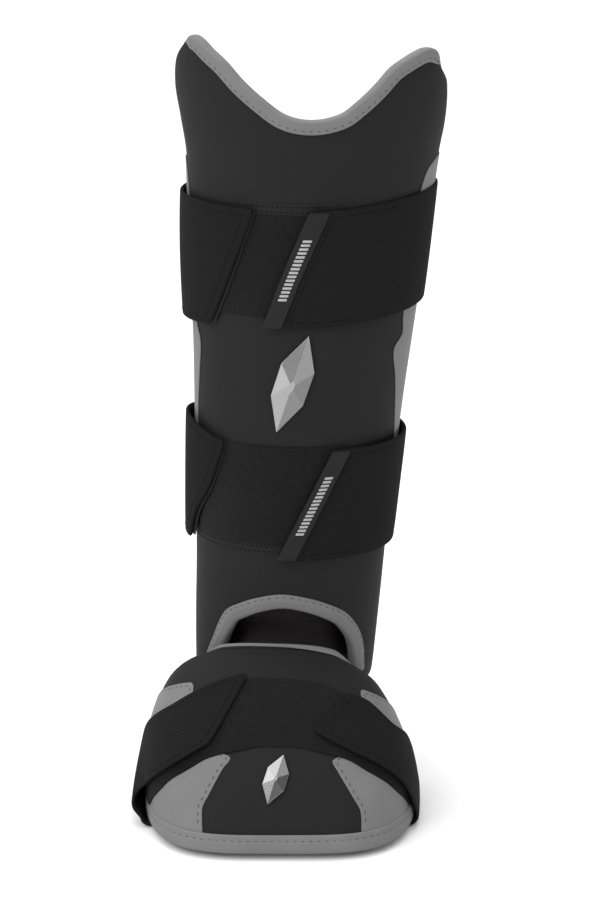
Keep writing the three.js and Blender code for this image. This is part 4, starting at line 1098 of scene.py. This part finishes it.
def buildFootStrap():
    form, thick, rows, sole = footStrap, footStrap["thick"], footStrap["rows"], footStrap["sole"]
    evenTurn = 0.5 - 0.5 * np.cos(np.linspace(0, math.pi, form["columns"]))
    across = mix(form["edgeIn"], 1 - form["edgeIn"], evenTurn)
    along = np.linspace(0, 1, form["stations"])

    # the front edge stands off the cover near the rim, and closes again where the strap turns under
    def overCover(table):
        def between(back, front):
            ends = [curveThrough(form["along"], table[key])(along)[:, None] for key in (back, front)]
            return mix(*ends, across)

        hump = smooth(along, *form["standing"]) * (1 - form["closed"] * smooth(along, *form["closing"]))
        stand = table["stand"] * across * hump[:, None] + form["tilt"] * across ** form["tiltPower"]
        side, down = between("backSide", "frontSide"), between("backDown", "frontDown")
        return foot.point(side, down, form["rest"] + thick / 2 + stand)

    left, right = overCover(form["left"]), overCover(form["right"])
    middle = (left[-1] + right[-1]) / 2

    def under(rim, share, height):
        place = mix(middle, rim, share)
        place[:, 2] = height
        return place

    shares = np.linspace(form["tuck"], 0, form["soleStations"])
    turnHeight = sole * form["turnDrop"]
    leftTurn = under(left[-1], form["left"]["turn"], turnHeight)
    rightTurn = under(right[-1], form["right"]["turn"], turnHeight)
    line = lineThrough(np.stack([
        *left, leftTurn, *[under(left[-1], share, sole) for share in shares],
        *[under(right[-1], share, sole) for share in shares[::-1][1:]], rightTurn, *right[::-1],
    ]), rows)
    # rounded corners: both ends are drawn back near the two edges, then rows are spread evenly between
    width = np.linalg.norm(line[0, -1] - line[0, 0])
    step = np.linalg.norm(np.diff(line[:, len(across) // 2], axis=0), axis=-1).mean()
    drawn = form["corner"] / step * quarterRound(np.minimum(across, 1 - across) * width, form["corner"])
    place = mix(drawn, rows - 1 - drawn, np.linspace(0, 1, rows)[:, None])
    low = np.clip(place.astype(int), 0, rows - 2)
    column = np.arange(len(across))[None, :]
    line = mix(line[low, column], line[low + 1, column], (place - low)[..., None])
    normal = unit(np.cross(np.gradient(line, axis=0), np.gradient(line, axis=1)))
    upAhead = np.array([0, -1, 1])  # the way that the ends on top of the cover face
    normal = normal * np.sign(normal[0, len(across) // 2] @ upAhead)
    outer = line + normal * thick / 2
    inner = line - normal * thick / 2
    addSlab("footStrap", outer, inner, thick / 2, "elastic", "foot_strap", uv=bandUv(outer))
    # sewn lines along both ends and the edges beside them
    inset = int(form["sewnEnd"] / step)
    run = inset + int(form["sewnRun"] / step)
    first = int(np.searchsorted(across, form["sewnEdge"] / width))
    last = len(across) - 1 - first
    wide = slice(first, last + 1)
    paths = [(slice(inset, inset + 1), wide), (slice(-inset, 1 - inset), wide)]
    for edge in (first, last):
        paths.append((slice(inset, run), slice(edge, edge + 1)))
        paths.append((slice(-run, -inset), slice(edge, edge + 1)))
    lines = [(outer[path].reshape(-1, 3), normal[path].reshape(-1, 3)) for path in paths]
    sewn = [stitchRow(*row, strapThread) for row in lines]
    addStitches("footStrapStitches", sewn, strapThread, "blackThread")


# Mesh tongue from inside the shin to under the foot cover
tongue = {
    "shinAngle": (62, 78), "footSide": (0.38, 0.5), "sides": (0.5, 0.8), "thick": 1.6,
    "columns": 60, "rows": 90,
    "height": [132, 122, 115, 99, 88, 80, 74, 68, 62],
    "shinLift": [-7.75, -7.75, -9.6, -12, -15.4, -15.4, -13.5, -12.5, -12.5],
    "down": [0, 0, 0, 0, 0, 0.02, 0.06, 0.13, 0.22],
    "footLift": [-11.8, -11.8, -11.8, -11.8, -11.8, -11.8, -11, -8.9, -8.25],
    "onFoot": [0, 0, 0, 0, 0.08, 0.4, 0.85, 1, 1],
}


def buildTongue():
    lists = {key: value for key, value in tongue.items() if isinstance(value, list)}
    table = {key: np.array(value, float)[:, None] for key, value in lists.items()}
    across = np.linspace(-1, 1, tongue["columns"])[None, :]
    none = 0 * across
    angle = np.where(across < 0, *tongue["shinAngle"]) * across + 0 * table["height"]
    side = np.where(across < 0, *tongue["footSide"]) * across + 0 * table["height"]
    onShin = shin.point(angle, table["height"] + none, table["shinLift"] + none)
    onFoot = foot.point(side, table["down"] + none, table["footLift"] + none)
    hanging = smooth(np.abs(across), *tongue["sides"])
    share = (table["onFoot"] * (1 - hanging))[..., None]
    line = lineThrough(mix(onShin, onFoot, share), tongue["rows"])
    normal = unit(np.cross(np.gradient(line, axis=0), np.gradient(line, axis=1)))
    half = tongue["thick"] / 2
    outer, inner = line + normal * half, line - normal * half
    piece = addSlab("meshTongue", outer, inner, half, "mesh", "ankle_tongue")


# Badges: plain slanting lozenges, cut in facets round a flat face
badgeForm = {"seat": 0.3, "shoulder": 0.34, "flank": 1.5, "faceShare": 0.14, "lean": 18.0, "bevel": 0.00022,
             "segments": 2}
badges = {
    # each badge's facet shares paint light and shade on its facets
    "shinBadge": {"surface": shin, "place": (-4.5, 236.0), "half": (9.0, 29.0), "face": 5.0,
                  "node": "shin_badge", "paintedLightShares": (0.75, 0.55, 0.65, 1.0, 1.2, 1.3)},
    "footBadge": {"surface": foot, "place": (-0.016, 0.704), "half": (6.0, 14.0), "face": 3.8,
                  "node": "foot_badge", "paintedLightShares": (0.8, 0.8, 0.9, 1.1, 1.1, 1.1)},
}


def buildBadges():
    form = badgeForm
    shoulder = form["shoulder"]
    outline = np.array([[0, 1], [1, shoulder], [1, -shoulder], [0, -1], [-1, -shoulder], [-1, shoulder]])
    sides = len(outline)
    lean = math.radians(form["lean"])
    for name, badge in badges.items():
        surface = badge["surface"]
        u, v = (np.array(value) for value in badge["place"])
        normal = surface.normal(u, v)
        up = unit(np.array([0, 0, 1]) - normal * normal[2])
        right = np.cross(up, normal)
        across, along = (outline * badge["half"]).T
        way = (across * math.cos(lean) + along * math.sin(lean))[:, None] * right
        way = way + (along * math.cos(lean) - across * math.sin(lean))[:, None] * up
        stepU, stepV = surface.stepAlong(u, v, way)
        rings = ((1, 0), (1, form["flank"]), (form["faceShare"], badge["face"]))
        points = np.concatenate([
            surface.point(u + share * stepU, v + share * stepV, form["seat"] + lift)
            for share, lift in rings
        ])
        index = np.arange(len(points)).reshape(len(rings), sides)
        loop = np.concatenate([index, index[:, :1]], 1)
        faces = gridFaces(loop).tolist() + [index[0].tolist(), index[-1, ::-1].tolist()]
        mesh = makeMesh(name, points, faces, np.zeros((len(points), 2)))
        mesh.shade_flat()
        # painted light: shares of the colour for flanks, facets and both caps, so some facets look lit and
        # some shaded
        shades = np.concatenate([np.ones(sides), badge["paintedLightShares"], np.ones(2)])
        mesh.attributes.new("paintedFacetLight", "FLOAT", "FACE").data.foreach_set("value", shades.astype(np.float32))
        piece = addPiece(name, mesh, "metal", badge["node"])
        bevel = piece.modifiers.new("edges", "BEVEL")
        bevel.width = form["bevel"]
        bevel.segments = form["segments"]


# Floor, lights and camera
stageForm = {"floor": 240.0, "drop": 0.0006, "rise": (0.0, 0.02, 0.15, 0.75),
             "light": (0.62, 0.19, 0.19, 1.0), "leftShare": 2.08, "rightShare": 0.8}
cameraForm = {"target": (-0.0014, 0.0, -0.048), "distance": 1.6, "elevation": 16.0, "lens": 114.3,
              "sensor": 36.0}
lights = [
    {"name": "key", "place": (-1.3, -1.5, 1.4), "size": 1.4, "power": 12.0},
    {"name": "top", "place": (0.0, 0.4, 1.8), "size": 1.6, "power": 12.0},
]


def addAimed(thing, place):
    bpy.context.scene.collection.objects.link(thing)
    thing.location = place
    way = Vector(cameraForm["target"]) - Vector(place)
    thing.rotation_euler = way.to_track_quat("-Z", "Y").to_euler()


def buildFloor():
    half = stageForm["floor"] / 2
    level = cadBox[0].z - stageForm["drop"]
    mesh = bpy.data.meshes.new("floor")
    corners = [(-half, -half, level), (half, -half, level), (half, half, level), (-half, half, level)]
    mesh.from_pydata(corners, [], [(0, 1, 2, 3)])
    mesh.materials.append(plainFinish("paleFloor", greys(0.93, 0.95), (0.7, 0.8), 0.2, 3.0, 0.0))
    floor = bpy.data.objects.new("floor", mesh)
    bpy.context.scene.collection.objects.link(floor)


# White light, dim over a bright horizon, that grows to the zenith and is weaker on the right
def buildSky():
    world = bpy.data.worlds.new("studio")
    world.use_nodes = True
    tree = world.node_tree
    sky = tree.nodes["Background"]
    sky.inputs["Color"].default_value = (1, 1, 1, 1)
    way = addNode(tree, "ShaderNodeSeparateXYZ", {"Vector": placeNode(tree, "Generated")}).outputs
    rising = rampFrom(tree, way["Z"], list(zip(stageForm["rise"], greys(*stageForm["light"]))), "EASE")
    sides = spreadFrom(tree, way["X"], stageForm["leftShare"], stageForm["rightShare"], (-1.0, 1.0))
    strength = addNode(tree, "ShaderNodeMath", {0: rising, 1: sides}, operation="MULTIPLY")
    tree.links.new(strength.outputs["Value"], sky.inputs["Strength"])
    bpy.context.scene.world = world
    bpy.context.scene.view_settings.view_transform = "Standard"


def buildLightsAndCamera():
    for light in lights:
        data = bpy.data.lights.new(light["name"], "AREA")
        data.size = light["size"]
        data.energy = light["power"]
        addAimed(bpy.data.objects.new(light["name"], data), light["place"])
    camera = bpy.data.objects.new("camera", bpy.data.cameras.new("camera"))
    camera.data.lens = cameraForm["lens"]
    camera.data.sensor_width = cameraForm["sensor"]
    rise = math.radians(cameraForm["elevation"])
    x, y, z = cameraForm["target"]
    distance = cameraForm["distance"]
    addAimed(camera, (x, y - distance * math.cos(rise), z + distance * math.sin(rise)))
    bpy.context.scene.camera = camera


buildFloor()
buildSky()
buildLightsAndCamera()
print("stage set")
buildShinShell()
buildShinBindings()
buildShinPanels()
print("shin made")
buildShinStraps()
print("shin straps made")
buildFootShell()
buildFootBindings()
buildFootPanels()
buildFootPatch()
buildFootStrap()
print("foot cover made")
buildTongue()
buildBadges()
print("tongue and badges made")
